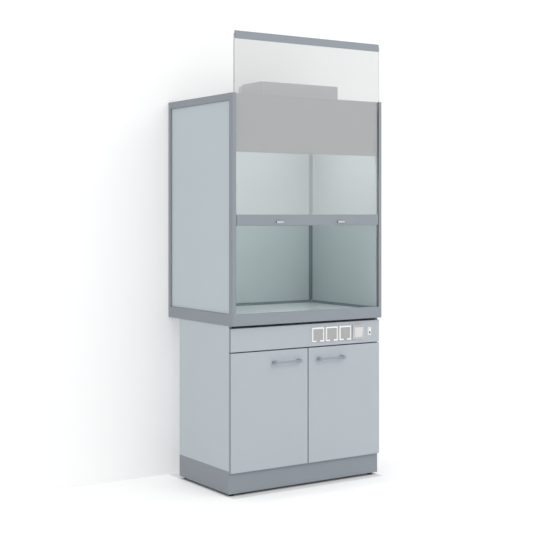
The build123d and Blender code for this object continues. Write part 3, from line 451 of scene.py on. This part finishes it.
def galvanised(name, base):
    """Zinc coated sheet with its spangle."""
    material, tree, shader = new_material(name, Metallic=0.75)
    cells = node(tree, "ShaderNodeTexVoronoi", in_Scale=90.0)
    tree.links.new(object_place(tree), cells.inputs["Vector"])
    spangle = node(tree, "ShaderNodeSeparateColor")
    tree.links.new(cells.outputs["Color"], spangle.inputs["Color"])
    tone = add_tone(tree, shader, base, 0.05, 3.0)
    lift = node(tree, "ShaderNodeHueSaturation")
    flake = node(tree, "ShaderNodeMapRange")
    flake.inputs["To Min"].default_value = 0.9
    flake.inputs["To Max"].default_value = 1.08
    tree.links.new(spangle.outputs["Red"], flake.inputs["Value"])
    tree.links.new(flake.outputs["Result"], lift.inputs["Value"])
    tree.links.new(tone.outputs["Color"], lift.inputs["Color"])
    tree.links.new(lift.outputs["Color"], shader.inputs["Base Color"])
    add_roughness(tree, shader, spangle.outputs["Green"], 0.38, 0.56)
    return material


def twisted_cable(name, base):
    """Strands laid at an angle round a cable, with painted light on their crowns and painted shade
    in the grooves between them.
    """
    material, tree, shader = new_material(name, Metallic=0.9, Roughness=0.38)
    strand_relief_and_shade = node(tree, "ShaderNodeTexWave", bands_direction="DIAGONAL", in_Scale=420.0,
                 in_Distortion=0.6, in_Detail=1.0)
    tree.links.new(object_place(tree), strand_relief_and_shade.inputs["Vector"])
    # painted light and shade: the wave bands lighten the strands' crowns and darken the grooves
    # between them
    tone = node(tree, "ShaderNodeMapRange")
    tone.inputs["To Min"].default_value = 0.55
    tone.inputs["To Max"].default_value = 1.1
    tree.links.new(strand_relief_and_shade.outputs["Fac"], tone.inputs["Value"])
    lift = node(tree, "ShaderNodeHueSaturation", in_Color=(*base, 1.0))
    tree.links.new(tone.outputs["Result"], lift.inputs["Value"])
    tree.links.new(lift.outputs["Color"], shader.inputs["Base Color"])
    add_bump(tree, shader, strand_relief_and_shade.outputs["Fac"], 0.6, 0.0003)
    return material


def sash_glass_material():
    """Clear glass with painted shade in a band along its upright edges, beside the posts, that lets
    the light through.
    """
    low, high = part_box("sash_glass")
    material, tree, shader = new_material(
        "Toughened Glass", Transmission_Weight=1.0, Roughness=0.0, IOR=1.45,
        Coat_Weight=1.0, Coat_Roughness=0.0, Coat_IOR=2.2
    )
    apart = tree.nodes.new("ShaderNodeSeparateXYZ")
    tree.links.new(object_place(tree), apart.inputs["Vector"])
    aside = calculate(tree, "ABSOLUTE", apart.outputs["X"], None)
    # painted shade in a band along the glass's upright edges
    in_edge_shade = calculate(tree, "GREATER_THAN", aside, high.x - sizes().glass_shade_band)
    tint_and_edge_shade = node(tree, "ShaderNodeMix", data_type="RGBA")
    tint_and_edge_shade.inputs[6].default_value = (*finishes().glass, 1.0)
    tint_and_edge_shade.inputs[7].default_value = (*finishes().glass_edge_shade, 1.0)
    tree.links.new(in_edge_shade, tint_and_edge_shade.inputs[0])
    tree.links.new(tint_and_edge_shade.outputs[2], shader.inputs["Base Color"])
    clear = tree.nodes.new("ShaderNodeBsdfTransparent")
    tree.links.new(tint_and_edge_shade.outputs[2], clear.inputs["Color"])
    path = tree.nodes.new("ShaderNodeLightPath")
    shadow, diffuse = path.outputs["Is Shadow Ray"], path.outputs["Is Diffuse Ray"]
    passing = calculate(tree, "MAXIMUM", shadow, diffuse)
    pick = tree.nodes.new("ShaderNodeMixShader")
    tree.links.new(passing, pick.inputs[0])
    tree.links.new(shader.outputs[0], pick.inputs[1])
    tree.links.new(clear.outputs[0], pick.inputs[2])
    tree.links.new(pick.outputs[0], tree.nodes["Material Output"].inputs["Surface"])
    return material


def lit_diffuser(name):
    """Opal sheet lit from behind, its glow a little uneven."""
    material, tree, shader = new_material(
        name, base=shade(240, 242, 240), Roughness=0.45, Emission_Strength=studio().lamp_glow
    )
    tone = placed_group(
        tree, "Uneven Tone", Color=(*shade(252, 253, 250), 1.0), Variation=0.06, Scale=6.0
    )
    tree.links.new(tone.outputs["Color"], shader.inputs["Emission Color"])
    return material


MATERIALS = {}


def material_for(key):
    """The finish with that name, made the first time that a piece asks for it."""
    if key not in MATERIALS:
        MATERIALS[key] = FINISH_MAKERS[key]()
    return MATERIALS[key]


FINISH_MAKERS = {
    "frame": lambda: paint("Frame Powder Coat", finishes().frame_paint),
    "panel": lambda: paint("Panel Powder Coat", finishes().panel_paint, variation=0.02),
    "liner": lambda: paint("Chamber Liner", finishes().liner, 500.0, 0.05, (0.3, 0.4), 0.02),
    "transom": lambda: paint("Transom Paint", finishes().transom),
    "housing": lambda: paint("Housing Paint", finishes().housing),
    "worktop": lambda: paint("Worktop Laminate", finishes().worktop, 500.0, 0.05, (0.25, 0.36)),
    "trim": lambda: moulding("Cove Trim", finishes().trim, (0.4, 0.5)),
    "door": lambda: laminate("Door Laminate", (0, 1, 0), "door"),
    "side": lambda: laminate("Side Laminate", (1, 0, 0)),
    "shelf": lambda: laminate("Shelf Laminate", (0, 0, 1)),
    "back": lambda: laminate("Back Board", (0, 1, 0)),
    "plinth": lambda: paint("Plinth Paint", finishes().plinth),
    "handle": lambda: paint("Handle Paint", finishes().handle, gloss=(0.3, 0.4)),
    "steel": lambda: metal("Bright Steel", shade(190, 192, 194), (900.0, 900.0, 8.0)),
    "weight": lambda: metal("Rolled Steel", shade(120, 122, 124), (5.0, 700.0, 700.0), 0.3),
    "chrome": lambda: polished("Chrome Plate", shade(206, 209, 214)),
    "brass": lambda: metal("Contact Brass", shade(200, 170, 96), (900.0, 6.0, 900.0), 0.2),
    "zinc": lambda: galvanised("Zinc Coated Sheet", shade(186, 190, 193)),
    "cable": lambda: twisted_cable("Cable Strands", shade(150, 153, 156)),
    "nylon": lambda: moulding("Nylon", shade(226, 226, 218), (0.4, 0.5)),
    # the gasket's mid-grey is partly painted shade of the side panels' recess
    "gasket_rubber_and_shade": lambda: moulding("Gasket Rubber And Shade", shade(122, 129, 135), (0.6, 0.7), 0.15),
    "foot": lambda: moulding("Foot Plastic", shade(26, 27, 28), (0.5, 0.6), 0.15),
    "white": lambda: moulding("White Plastic", finishes().white_plastic),
    "switch": lambda: moulding("Switch Frame", finishes().switch_frame),
    "key": lambda: moulding("Switch Key", finishes().switch_key, (0.16, 0.24)),
    "lid": lambda: moulding("Lid Plastic", finishes().lid_plastic),
    "green": lambda: moulding("Indicator Window", finishes().window_green, (0.12, 0.2)),
    "glass": sash_glass_material,
    "diffuser": lambda: lit_diffuser("Lit Diffuser"),
}


def dress(key, *names):
    """Gives nodes of the frame their finish."""
    for name in names:
        slots = NODES[name].data.materials
        slots.clear()
        slots.append(material_for(key))


# Mesh helpers

def make_piece(name, mesh, finish, body, bend=None):
    """Turns a bmesh into a piece that rides on a body, or, when a bend is given, a piece that rides
    on none.
    """
    bmesh.ops.recalc_face_normals(mesh, faces=mesh.faces)
    data = bpy.data.meshes.new(name)
    mesh.to_mesh(data)
    mesh.free()
    data.shade_smooth()
    data.set_sharp_from_angle(angle=SHARP_ANGLE)
    data.materials.append(material_for(finish))
    piece = bpy.data.objects.new(name, data)
    bpy.context.scene.collection.objects.link(piece)
    if bend is None:
        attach(piece, body)
    else:
        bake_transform(piece)
    return piece


def turned(mesh, profile, place, axis, steps=20):
    """Turns a profile of (radius, height) points about an axis through a place."""
    turn = Vector((0, 0, 1)).rotation_difference(Vector(axis)).to_matrix()
    rings = []
    for radius, height in profile:
        if radius < 1e-9:
            rings.append([mesh.verts.new(Vector(place) + turn @ Vector((0, 0, height)))])
            continue
        ring = []
        for step in range(steps):
            angle = math.tau * step / steps
            point = Vector((radius * math.cos(angle), radius * math.sin(angle), height))
            ring.append(mesh.verts.new(Vector(place) + turn @ point))
        rings.append(ring)
    for lower, upper in zip(rings, rings[1:]):
        for step in range(steps):
            following = (step + 1) % steps
            corners = [lower[step % len(lower)], lower[following % len(lower)],
                       upper[following % len(upper)], upper[step % len(upper)]]
            corners = [c for i, c in enumerate(corners) if c not in corners[:i]]
            if len(corners) > 2:
                mesh.faces.new(corners)


def tube_profile(inner, outer, bottom, top, edge=0.0):
    """Closed wall of a ring or sleeve, with its outer edges broken by the given amount."""
    points = [(inner, bottom), (outer - edge, bottom), (outer, bottom + edge), (outer, top - edge),
              (outer - edge, top), (inner, top), (inner, bottom)]
    return [point for i, point in enumerate(points) if i == 0 or point != points[i - 1]]


def block(mesh, low, high, bevel=0.0):
    """A block between two corners, with its edges rounded a little."""
    low, high = Vector(low), Vector(high)
    made = bmesh.ops.create_cube(mesh, size=1.0)["verts"]
    bmesh.ops.scale(mesh, vec=high - low, verts=made)
    bmesh.ops.translate(mesh, vec=(low + high) / 2, verts=made)
    if bevel:
        edges = list({edge for vertex in made for edge in vertex.link_edges})
        bmesh.ops.bevel(mesh, geom=edges, offset=bevel, segments=2, affect="EDGES", profile=0.6)


def screw_profile():
    """Pan head with a round recess."""
    head, height = sizes().screw_head, sizes().screw_height
    return [(0, height * 0.35), (head * 0.42, height * 0.45), (head * 0.48, height * 0.96),
            (head * 0.72, height * 0.86), (head * 0.94, height * 0.45), (head, 0), (0, 0)]


def screws(name, places, axis, body):
    """Pan heads at the given places, all in one piece."""
    mesh = bmesh.new()
    for place in places:
        turned(mesh, screw_profile(), place, axis, steps=16)
    return make_piece(name, mesh, "steel", body)


def spaced(low, high, pitch):
    """Evenly spaced values from low to high, no further apart than the pitch."""
    count = max(1, math.ceil((high - low) / pitch))
    return [low + (high - low) * i / count for i in range(count + 1)]


# Pieces

def side_gasket(side):
    """Rubber bead round a recessed side panel, mitred at its corners. Its mid-grey is partly
    painted shade of the recess.
    """
    sign = -1 if side == "left" else 1
    low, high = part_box("side_panel_" + side)
    face = low.x if side == "left" else high.x
    width, height = sizes().bead_width, sizes().bead_height
    profile = [(0, 0), (0, height), (width * 0.6, height), (width, height * 0.5), (width, 0)]
    corners = [(low.y, low.z, 1, 1), (high.y, low.z, -1, 1), (high.y, high.z, -1, -1),
               (low.y, high.z, 1, -1)]
    mesh = bmesh.new()
    rings = [
        [mesh.verts.new((face + sign * off, y + dy * inset, z + dz * inset))
         for inset, off in profile]
        for y, z, dy, dz in corners
    ]
    for ring, following in zip(rings, rings[1:] + rings[:1]):
        for i in range(len(profile)):
            j = (i + 1) % len(profile)
            mesh.faces.new((ring[i], ring[j], following[j], following[i]))
    make_piece("panel_gasket_" + side, mesh, "gasket_rubber_and_shade", "frame")


def back_screws():
    low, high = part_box("back_panel")
    margin = sizes().edge_margin
    xs = spaced(low.x + margin, high.x - margin, sizes().screw_pitch)
    zs = spaced(low.z + margin, high.z - margin, sizes().screw_pitch)
    places = [(x, high.y, z) for x in xs for z in (zs[0], zs[-1])]
    places += [(x, high.y, z) for x in (xs[0], xs[-1]) for z in zs[1:-1]]
    screws("back_panel_screws", places, (0, 1, 0), "frame")


def roof_screws():
    """Screws through the flanges of the lamp housing and the spigot."""
    low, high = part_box("lamp_housing")
    inset, corner, sheet = 6 * MM, 24 * MM, 1.5 * MM
    top, pitch = low.z + sheet, sizes().screw_pitch / 2
    xs = spaced(low.x + corner, high.x - corner, pitch)
    places = [(x, y, top) for x in xs for y in (low.y + inset, high.y - inset)]
    middle = (low.y + high.y) / 2
    places += [(x, middle, top) for x in (low.x + inset, high.x - inset)]
    screws("lamp_housing_screws", places, (0, 0, 1), "frame")
    low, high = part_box("exhaust_spigot")
    count, margin, flange = 8, 10 * MM, 2 * MM
    centre, ring, top = (low + high) / 2, (high.x - low.x) / 2 - margin, low.z + flange
    angles = [math.tau * (i + 0.5) / count for i in range(count)]
    places = [(centre.x + ring * math.cos(a), centre.y + ring * math.sin(a), top) for a in angles]
    screws("spigot_screws", places, (0, 0, 1), "frame")


def spigot_beads():
    """Two rolled beads round the spigot that hold the duct's clip."""
    low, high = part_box("exhaust_spigot")
    centre = (low + high) / 2
    radius, bead, half_width, sunk = 100 * MM, 1.6 * MM, 3 * MM, 0.3 * MM
    steps = 8
    mesh = bmesh.new()
    for below_top in (18 * MM, 40 * MM):
        middle = high.z - below_top
        angles = [math.pi * i / steps for i in range(steps + 1)]
        arc = [(radius + bead * math.sin(a), middle - half_width * math.cos(a)) for a in angles]
        foot = radius - sunk
        profile = [(foot, arc[0][1])] + arc + [(foot, arc[-1][1]), (foot, arc[0][1])]
        turned(mesh, profile, (centre.x, centre.y, 0), (0, 0, 1), steps=96)
    make_piece("spigot_beads", mesh, "zinc", "frame")


def lamp_tube():
    """Tube of the lamp with its caps, and the two holders that hang it in the housing."""
    low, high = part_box("lamp_housing")
    centre = (low + high) / 2
    radius, half = sizes().tube_radius, sizes().tube_length / 2
    above_roof, sheet, thick, reach = 38 * MM, 1.5 * MM, 5 * MM, 12 * MM
    height = low.z + above_roof
    mesh = bmesh.new()
    profile = [(0, 0), (radius, 0), (radius, 2 * half), (0, 2 * half)]
    turned(mesh, profile, (centre.x - half, centre.y, height), (1, 0, 0), 32)
    make_piece("lamp_tube", mesh, "diffuser", "frame")
    mesh = bmesh.new()
    for end in (-1, 1):
        x = centre.x + end * (half + thick)
        block(mesh, (x - thick, centre.y - reach, height - reach),
              (x + thick, centre.y + reach, high.z - sheet), 1.5 * MM)
    make_piece("lamp_holders", mesh, "white", "frame")


def cable_spans(name, node_name, body):
    """Stranded spans between the moving body and the pulleys, at both sides."""
    low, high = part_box(node_name)
    y, strands, radius = (low.y + high.y) / 2, sizes().cable_strands, sizes().cable_radius
    steps, groove = strands * 6, 0.08
    mesh = bmesh.new()
    for x in (low.x + radius, high.x - radius):
        rings = []
        for z in (low.z, high.z):
            ring = []
            for step in range(steps):
                angle = math.tau * step / steps
                reach = radius * (1 - groove + groove * math.cos(strands * angle))
                point = (x + reach * math.cos(angle), y + reach * math.sin(angle), z)
                ring.append(mesh.verts.new(point))
            rings.append(ring)
        for i in range(steps):
            j = (i + 1) % steps
            mesh.faces.new((rings[0][i], rings[0][j], rings[1][j], rings[1][i]))
        mesh.faces.new(rings[0])
        mesh.faces.new(rings[1])
    bend = ("frame", (0, y, low.z), (0, y, high.z))
    piece = make_piece(name, mesh, "cable", body, bend)
    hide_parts(node_name)


def ferrules(name, node_name, body):
    """Swaged ends where the cables are fixed."""
    low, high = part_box(node_name)
    radius, tall = sizes().ferrule_radius, sizes().ferrule_length
    inner, y = sizes().cable_radius, (low.y + high.y) / 2
    profile = [(inner, 0), (radius, 0), (radius, tall * 0.8), (radius * 0.85, tall * 0.9),
               (inner, tall), (inner, 0)]
    mesh = bmesh.new()
    for x in (low.x + inner, high.x - inner):
        turned(mesh, profile, (x, y, low.z), (0, 0, 1), steps=24)
    make_piece(name, mesh, "steel", body)


def handle_screws(side):
    """Heads of the handle's screws on the inner face of its door."""
    low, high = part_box("door_handle_" + side)
    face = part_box("door_" + side)[1].y
    post, z = 10 * MM, (low.z + high.z) / 2
    places = [(x, face, z) for x in (low.x + post, high.x - post)]
    screws("handle_screws_" + side, places, (0, 1, 0), "door_" + side)


def door_buffers(side):
    """Soft buffers near the free corners of a door's inner face."""
    low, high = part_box("door_" + side)
    from_side, from_end, radius, thick = 12 * MM, 14 * MM, 4.5 * MM, 0.4 * MM
    inner = high.x - from_side if side == "left" else low.x + from_side
    profile = [(0, 0), (radius, 0), (radius, thick / 4), (radius * 0.8, thick * 0.875), (0, thick)]
    mesh = bmesh.new()
    for z in (low.z + from_end, high.z - from_end):
        turned(mesh, profile, (inner, high.y, z), (0, 1, 0), steps=24)
    make_piece("door_buffers_" + side, mesh, "nylon", "door_" + side)


def socket_contacts():
    """Metal sleeves and earth springs in the sockets' recesses."""
    spacing, deep, centre_z, lid_gap = 19 * MM, 17 * MM, 853.5 * MM, 1 * MM
    sleeve = tube_profile(2.0 * MM, 2.5 * MM, 0.2 * MM, 12 * MM, 0.2 * MM)
    spring_near, spring_far, spring_half = 17.4 * MM, 17.95 * MM, 2.6 * MM
    floor_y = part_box("socket_lid_left")[1].y + lid_gap + deep
    sleeves, springs = bmesh.new(), bmesh.new()
    for place in ("left", "middle", "right"):
        low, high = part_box("socket_lid_" + place)
        x = (low.x + high.x) / 2
        for side in (-1, 1):
            middle = (x + side * spacing / 2, floor_y, centre_z)
            turned(sleeves, sleeve, middle, (0, 1, 0), steps=24)
            low_z, high_z = sorted((centre_z + side * spring_near, centre_z + side * spring_far))
            block(springs, (x - spring_half, floor_y - 11.5 * MM, low_z),
                  (x + spring_half, floor_y - 0.2 * MM, high_z), 0.15 * MM)
    make_piece("socket_sleeves", sleeves, "brass", "frame")
    make_piece("socket_earth_springs", springs, "steel", "frame")


def rocker_window():
    """Coloured window on the lower face of the lamp switch, to the right of its middle."""
    joint = JOINTS["rocker_rock"]
    low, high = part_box("rocker_key")
    axis = Vector(joint["pos_m"])
    tilt = math.radians(max(joint["range_deg"]) / 2)
    tip, front, valley = 17 * MM, 9 * MM, 2 * MM
    centre, wide, tall, thick = Vector((1.4 * MM, 0, -7 * MM)), 9.4 * MM, 13.5 * MM, 0.5 * MM
    mesh = bmesh.new()
    block(mesh, (-wide / 2, -thick / 2, -tall / 2), (wide / 2, thick / 2, tall / 2), 0.2 * MM)
    lean = Matrix.Rotation(-math.atan2(valley, tip), 4, "X")
    depth = -front + valley * (1 + centre.z / tip)
    place = Matrix.Translation(axis) @ Matrix.Rotation(tilt, 4, "X")
    place = place @ Matrix.Translation((centre.x, depth, centre.z)) @ lean
    bmesh.ops.transform(mesh, matrix=place, verts=mesh.verts)
    make_piece("rocker_window", mesh, "green", "rocker_key")


def foot_nuts():
    """Hexagonal lock nuts on the feet's stems, above the gussets' bosses."""
    low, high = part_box("levelling_feet")
    pad, z = 16 * MM, 58.3 * MM
    hexagon, nut = 6, tube_profile(5.1 * MM, 9 * MM, 0, 6 * MM, 0.6 * MM)
    mesh = bmesh.new()
    for x in (low.x + pad, high.x - pad):
        for y in (low.y + pad, high.y - pad):
            turned(mesh, nut, (x, y, z), (0, 0, 1), hexagon)
    make_piece("foot_nuts", mesh, "steel", "frame")


# Stage

def ground_material():
    """White ground that keeps its shadows, and lets the wall be looked through from behind."""
    material = bpy.data.materials.new("Studio Ground")
    material.use_nodes = True
    tree = material.node_tree
    tree.nodes.remove(tree.nodes["Principled BSDF"])
    matt = node(tree, "ShaderNodeBsdfDiffuse", in_Color=GROUND_WHITE)
    glow = tree.nodes.new("ShaderNodeEmission")
    path = tree.nodes.new("ShaderNodeLightPath")
    seen = calculate(tree, "MULTIPLY", path.outputs["Is Camera Ray"], studio().ground_glow)
    # no glow under the cabinet, where the gap below the plinth stays dark
    apart = tree.nodes.new("ShaderNodeSeparateXYZ")
    tree.links.new(object_place(tree), apart.inputs["Vector"])
    beside = []
    for axis, reach in (("X", CAD_BOX[1].x), ("Y", CAD_BOX[1].y)):
        away = calculate(tree, "ABSOLUTE", apart.outputs[axis], None)
        beside.append(calculate(tree, "GREATER_THAN", away, reach))
    clear = calculate(tree, "MAXIMUM", *beside)
    tree.links.new(calculate(tree, "MULTIPLY", seen, clear), glow.inputs["Strength"])
    total = tree.nodes.new("ShaderNodeAddShader")
    tree.links.new(matt.outputs[0], total.inputs[0])
    tree.links.new(glow.outputs[0], total.inputs[1])
    behind = tree.nodes.new("ShaderNodeNewGeometry").outputs["Backfacing"]
    pick = tree.nodes.new("ShaderNodeMixShader")
    tree.links.new(behind, pick.inputs[0])
    tree.links.new(total.outputs[0], pick.inputs[1])
    tree.links.new(tree.nodes.new("ShaderNodeBsdfTransparent").outputs[0], pick.inputs[2])
    tree.links.new(pick.outputs[0], tree.nodes["Material Output"].inputs["Surface"])
    return material


def ground(name, corners, material):
    data = bpy.data.meshes.new(name)
    data.from_pydata(corners, [], [range(len(corners))])
    data.materials.append(material)
    plane = bpy.data.objects.new(name, data)
    bpy.context.scene.collection.objects.link(plane)
    return plane


def room_world():
    """Even white light, seen as white by the camera and in gloss and glass."""
    world = bpy.data.worlds.new("Studio")
    bpy.context.scene.world = world
    world.use_nodes = True
    tree = world.node_tree
    background = tree.nodes["Background"]
    background.inputs["Color"].default_value = (1, 1, 1, 1)
    path = tree.nodes.new("ShaderNodeLightPath")
    seen = calculate(tree, "MAXIMUM", path.outputs["Is Camera Ray"], path.outputs["Is Glossy Ray"])
    seen = calculate(tree, "MAXIMUM", seen, path.outputs["Is Transmission Ray"])
    strength = node(tree, "ShaderNodeMapRange")
    strength.inputs["To Min"].default_value = studio().room_light
    strength.inputs["To Max"].default_value = 1.0
    tree.links.new(seen, strength.inputs["Value"])
    tree.links.new(strength.outputs["Result"], background.inputs["Strength"])


def key_lamp():
    """Large soft lamp in front, that shows in no gloss and no glass."""
    lamp = bpy.data.lights.new("Key Lamp", "AREA")
    lamp.shape, lamp.size, lamp.size_y = "RECTANGLE", 4.0, 3.0
    lamp.energy = studio().key_light
    holder = bpy.data.objects.new("Key Lamp", lamp)
    holder.location = studio().key_place
    aim = Vector(studio().key_target) - holder.location
    holder.rotation_euler = aim.to_track_quat("-Z", "Y").to_euler()
    holder.visible_glossy = holder.visible_transmission = False
    bpy.context.scene.collection.objects.link(holder)


def photo_camera():
    data = bpy.data.cameras.new("Camera")
    data.sensor_width, data.lens = 36.0, studio().camera_lens
    data.shift_y = studio().camera_shift
    data.clip_end = 100.0
    camera = bpy.data.objects.new("Camera", data)
    camera.location = studio().camera_place
    camera.rotation_euler = (math.radians(90), 0, -studio().camera_turn)
    bpy.context.scene.collection.objects.link(camera)
    bpy.context.scene.camera = camera


# Operators

class HOOD_OT_stage(bpy.types.Operator):
    """Sets up the camera, the light, the floor and the wall"""

    bl_idname = "hood.stage"
    bl_label = "Stage"

    def execute(self, context):
        photo_camera()
        room_world()
        key_lamp()
        far, back = studio().ground_size, CAD_BOX[1].y + studio().wall_gap
        material = ground_material()
        ground("floor", [(-far, -far, 0), (far, -far, 0), (far, far, 0), (-far, far, 0)], material)
        corners = [(-far, back, 0), (far, back, 0), (far, back, far), (-far, back, far)]
        wall = ground("wall", corners, material)
        # light passes through the wall, so that the hood's back isn't black from behind
        wall.visible_diffuse = wall.visible_shadow = False
        context.scene.view_settings.view_transform = "Standard"
        return {"FINISHED"}


class HOOD_OT_frame(bpy.types.Operator):
    """Finishes the posts, rails and outer panels and seals the side panels"""

    bl_idname = "hood.frame"
    bl_label = "Frame and panels"

    def execute(self, context):
        for side in ("left", "right"):
            dress("frame", "front_post_" + side, "rear_post_" + side, "top_rail_" + side,
                  "bottom_rail_" + side)
            dress("panel", "side_panel_" + side)
            side_gasket(side)
        dress("frame", "top_rail_rear", "bottom_rail_front", "bottom_rail_rear")
        dress("panel", "back_panel")
        back_screws()
        return {"FINISHED"}


class HOOD_OT_chamber(bpy.types.Operator):
    """Finishes the liners, the worktop, the cove trims and the transom"""

    bl_idname = "hood.chamber"
    bl_label = "Chamber"

    def execute(self, context):
        dress("liner", "liner_left", "liner_right", "liner_back")
        dress("worktop", "worktop")
        dress("trim", "chamber_trims")
        dress("transom", "transom_panel")
        return {"FINISHED"}


class HOOD_OT_roof(bpy.types.Operator):
    """Finishes the roof, the lamp and the exhaust spigot and adds their screws and beads"""

    bl_idname = "hood.roof"
    bl_label = "Roof"

    def execute(self, context):
        dress("housing", "lamp_housing")
        dress("zinc", "roof_panel", "exhaust_spigot")
        dress("diffuser", "lamp_diffuser")
        roof_screws()
        spigot_beads()
        lamp_tube()
        return {"FINISHED"}


class HOOD_OT_sash(bpy.types.Operator):
    """Finishes the sash"""

    bl_idname = "hood.sash"
    bl_label = "Sash"

    def execute(self, context):
        dress("glass", "sash_glass")
        dress("frame", "sash_top_rail", "sash_handle_rail")
        dress("chrome", "finger_pulls")
        return {"FINISHED"}


class HOOD_OT_balance(bpy.types.Operator):
    """Finishes the pulleys and the counterweight and makes the cable spans"""

    bl_idname = "hood.balance"
    bl_label = "Sash balance"

    def execute(self, context):
        for place in ("front", "rear"):
            dress("nylon", f"pulley_{place}_left", f"pulley_{place}_right")
        dress("weight", "counterweight")
        dress("cable", "sash_cables_top", "sash_cables_front", "sash_cables_rear")
        cable_spans("sash_cable_spans", "sash_cables_front", "sash")
        cable_spans("weight_cable_spans", "sash_cables_rear", "counterweight")
        ferrules("sash_ferrules", "sash_cables_front", "sash")
        ferrules("weight_ferrules", "sash_cables_rear", "counterweight")
        return {"FINISHED"}


class HOOD_OT_cabinet(bpy.types.Operator):
    """Finishes the cabinet, its doors, handles and hinges"""

    bl_idname = "hood.cabinet"
    bl_label = "Base cabinet"

    def execute(self, context):
        for side in ("left", "right"):
            dress("side", "cabinet_side_" + side)
            dress("door", "door_" + side)
            dress("handle", "door_handle_" + side)
            dress("steel", "hinge_cups_" + side)
            handle_screws(side)
            door_buffers(side)
        dress("door", "fascia")
        dress("shelf", "cabinet_bottom", "cabinet_top", "shelf")
        dress("back", "cabinet_back")
        dress("steel", "hinge_arms")
        return {"FINISHED"}


class HOOD_OT_sockets(bpy.types.Operator):
    """Finishes the sockets, their lids and the two switches"""

    bl_idname = "hood.sockets"
    bl_label = "Sockets and switches"

    def execute(self, context):
        dress("white", "sockets", "rocker_bezel", "rocker_key")
        dress("lid", "socket_lid_left", "socket_lid_middle", "socket_lid_right")
        dress("switch", "main_switch_frame")
        dress("key", "main_switch_key")
        socket_contacts()
        rocker_window()
        return {"FINISHED"}


class HOOD_OT_plinth(bpy.types.Operator):
    """Finishes the plinth and its levelling feet"""

    bl_idname = "hood.plinth"
    bl_label = "Plinth and feet"

    def execute(self, context):
        dress("plinth", "plinth")
        dress("foot", "levelling_feet")
        foot_nuts()
        return {"FINISHED"}


OPERATORS = (
    HOOD_OT_stage, HOOD_OT_frame, HOOD_OT_chamber, HOOD_OT_roof, HOOD_OT_sash, HOOD_OT_balance,
    HOOD_OT_cabinet, HOOD_OT_sockets, HOOD_OT_plinth,
)


class HOOD_PT_panel(bpy.types.Panel):
    """Lists the steps that dress the hood"""

    bl_idname = "HOOD_PT_panel"
    bl_label = "Fume Hood"
    bl_space_type = "VIEW_3D"
    bl_region_type = "UI"
    bl_category = "Fume Hood"

    def draw(self, context):
        for operator in OPERATORS:
            self.layout.operator(operator.bl_idname)


GROUPS_OF_PROPERTIES = (
    ("hood_finishes", HoodFinishes), ("hood_sizes", HoodSizes), ("hood_studio", HoodStudio),
)
CLASSES = tuple(group for _, group in GROUPS_OF_PROPERTIES) + OPERATORS + (HOOD_PT_panel,)


def register():
    for cls in CLASSES:
        bpy.utils.register_class(cls)
    for name, group in GROUPS_OF_PROPERTIES:
        setattr(bpy.types.Scene, name, PointerProperty(type=group))


def unregister():
    for name, _ in GROUPS_OF_PROPERTIES:
        delattr(bpy.types.Scene, name)
    for cls in reversed(CLASSES):
        bpy.utils.unregister_class(cls)


def main():
    register()
    for operator in OPERATORS:
        group, step = operator.bl_idname.split(".")
        getattr(getattr(bpy.ops, group), step)()


if __name__ == "__main__":
    main()
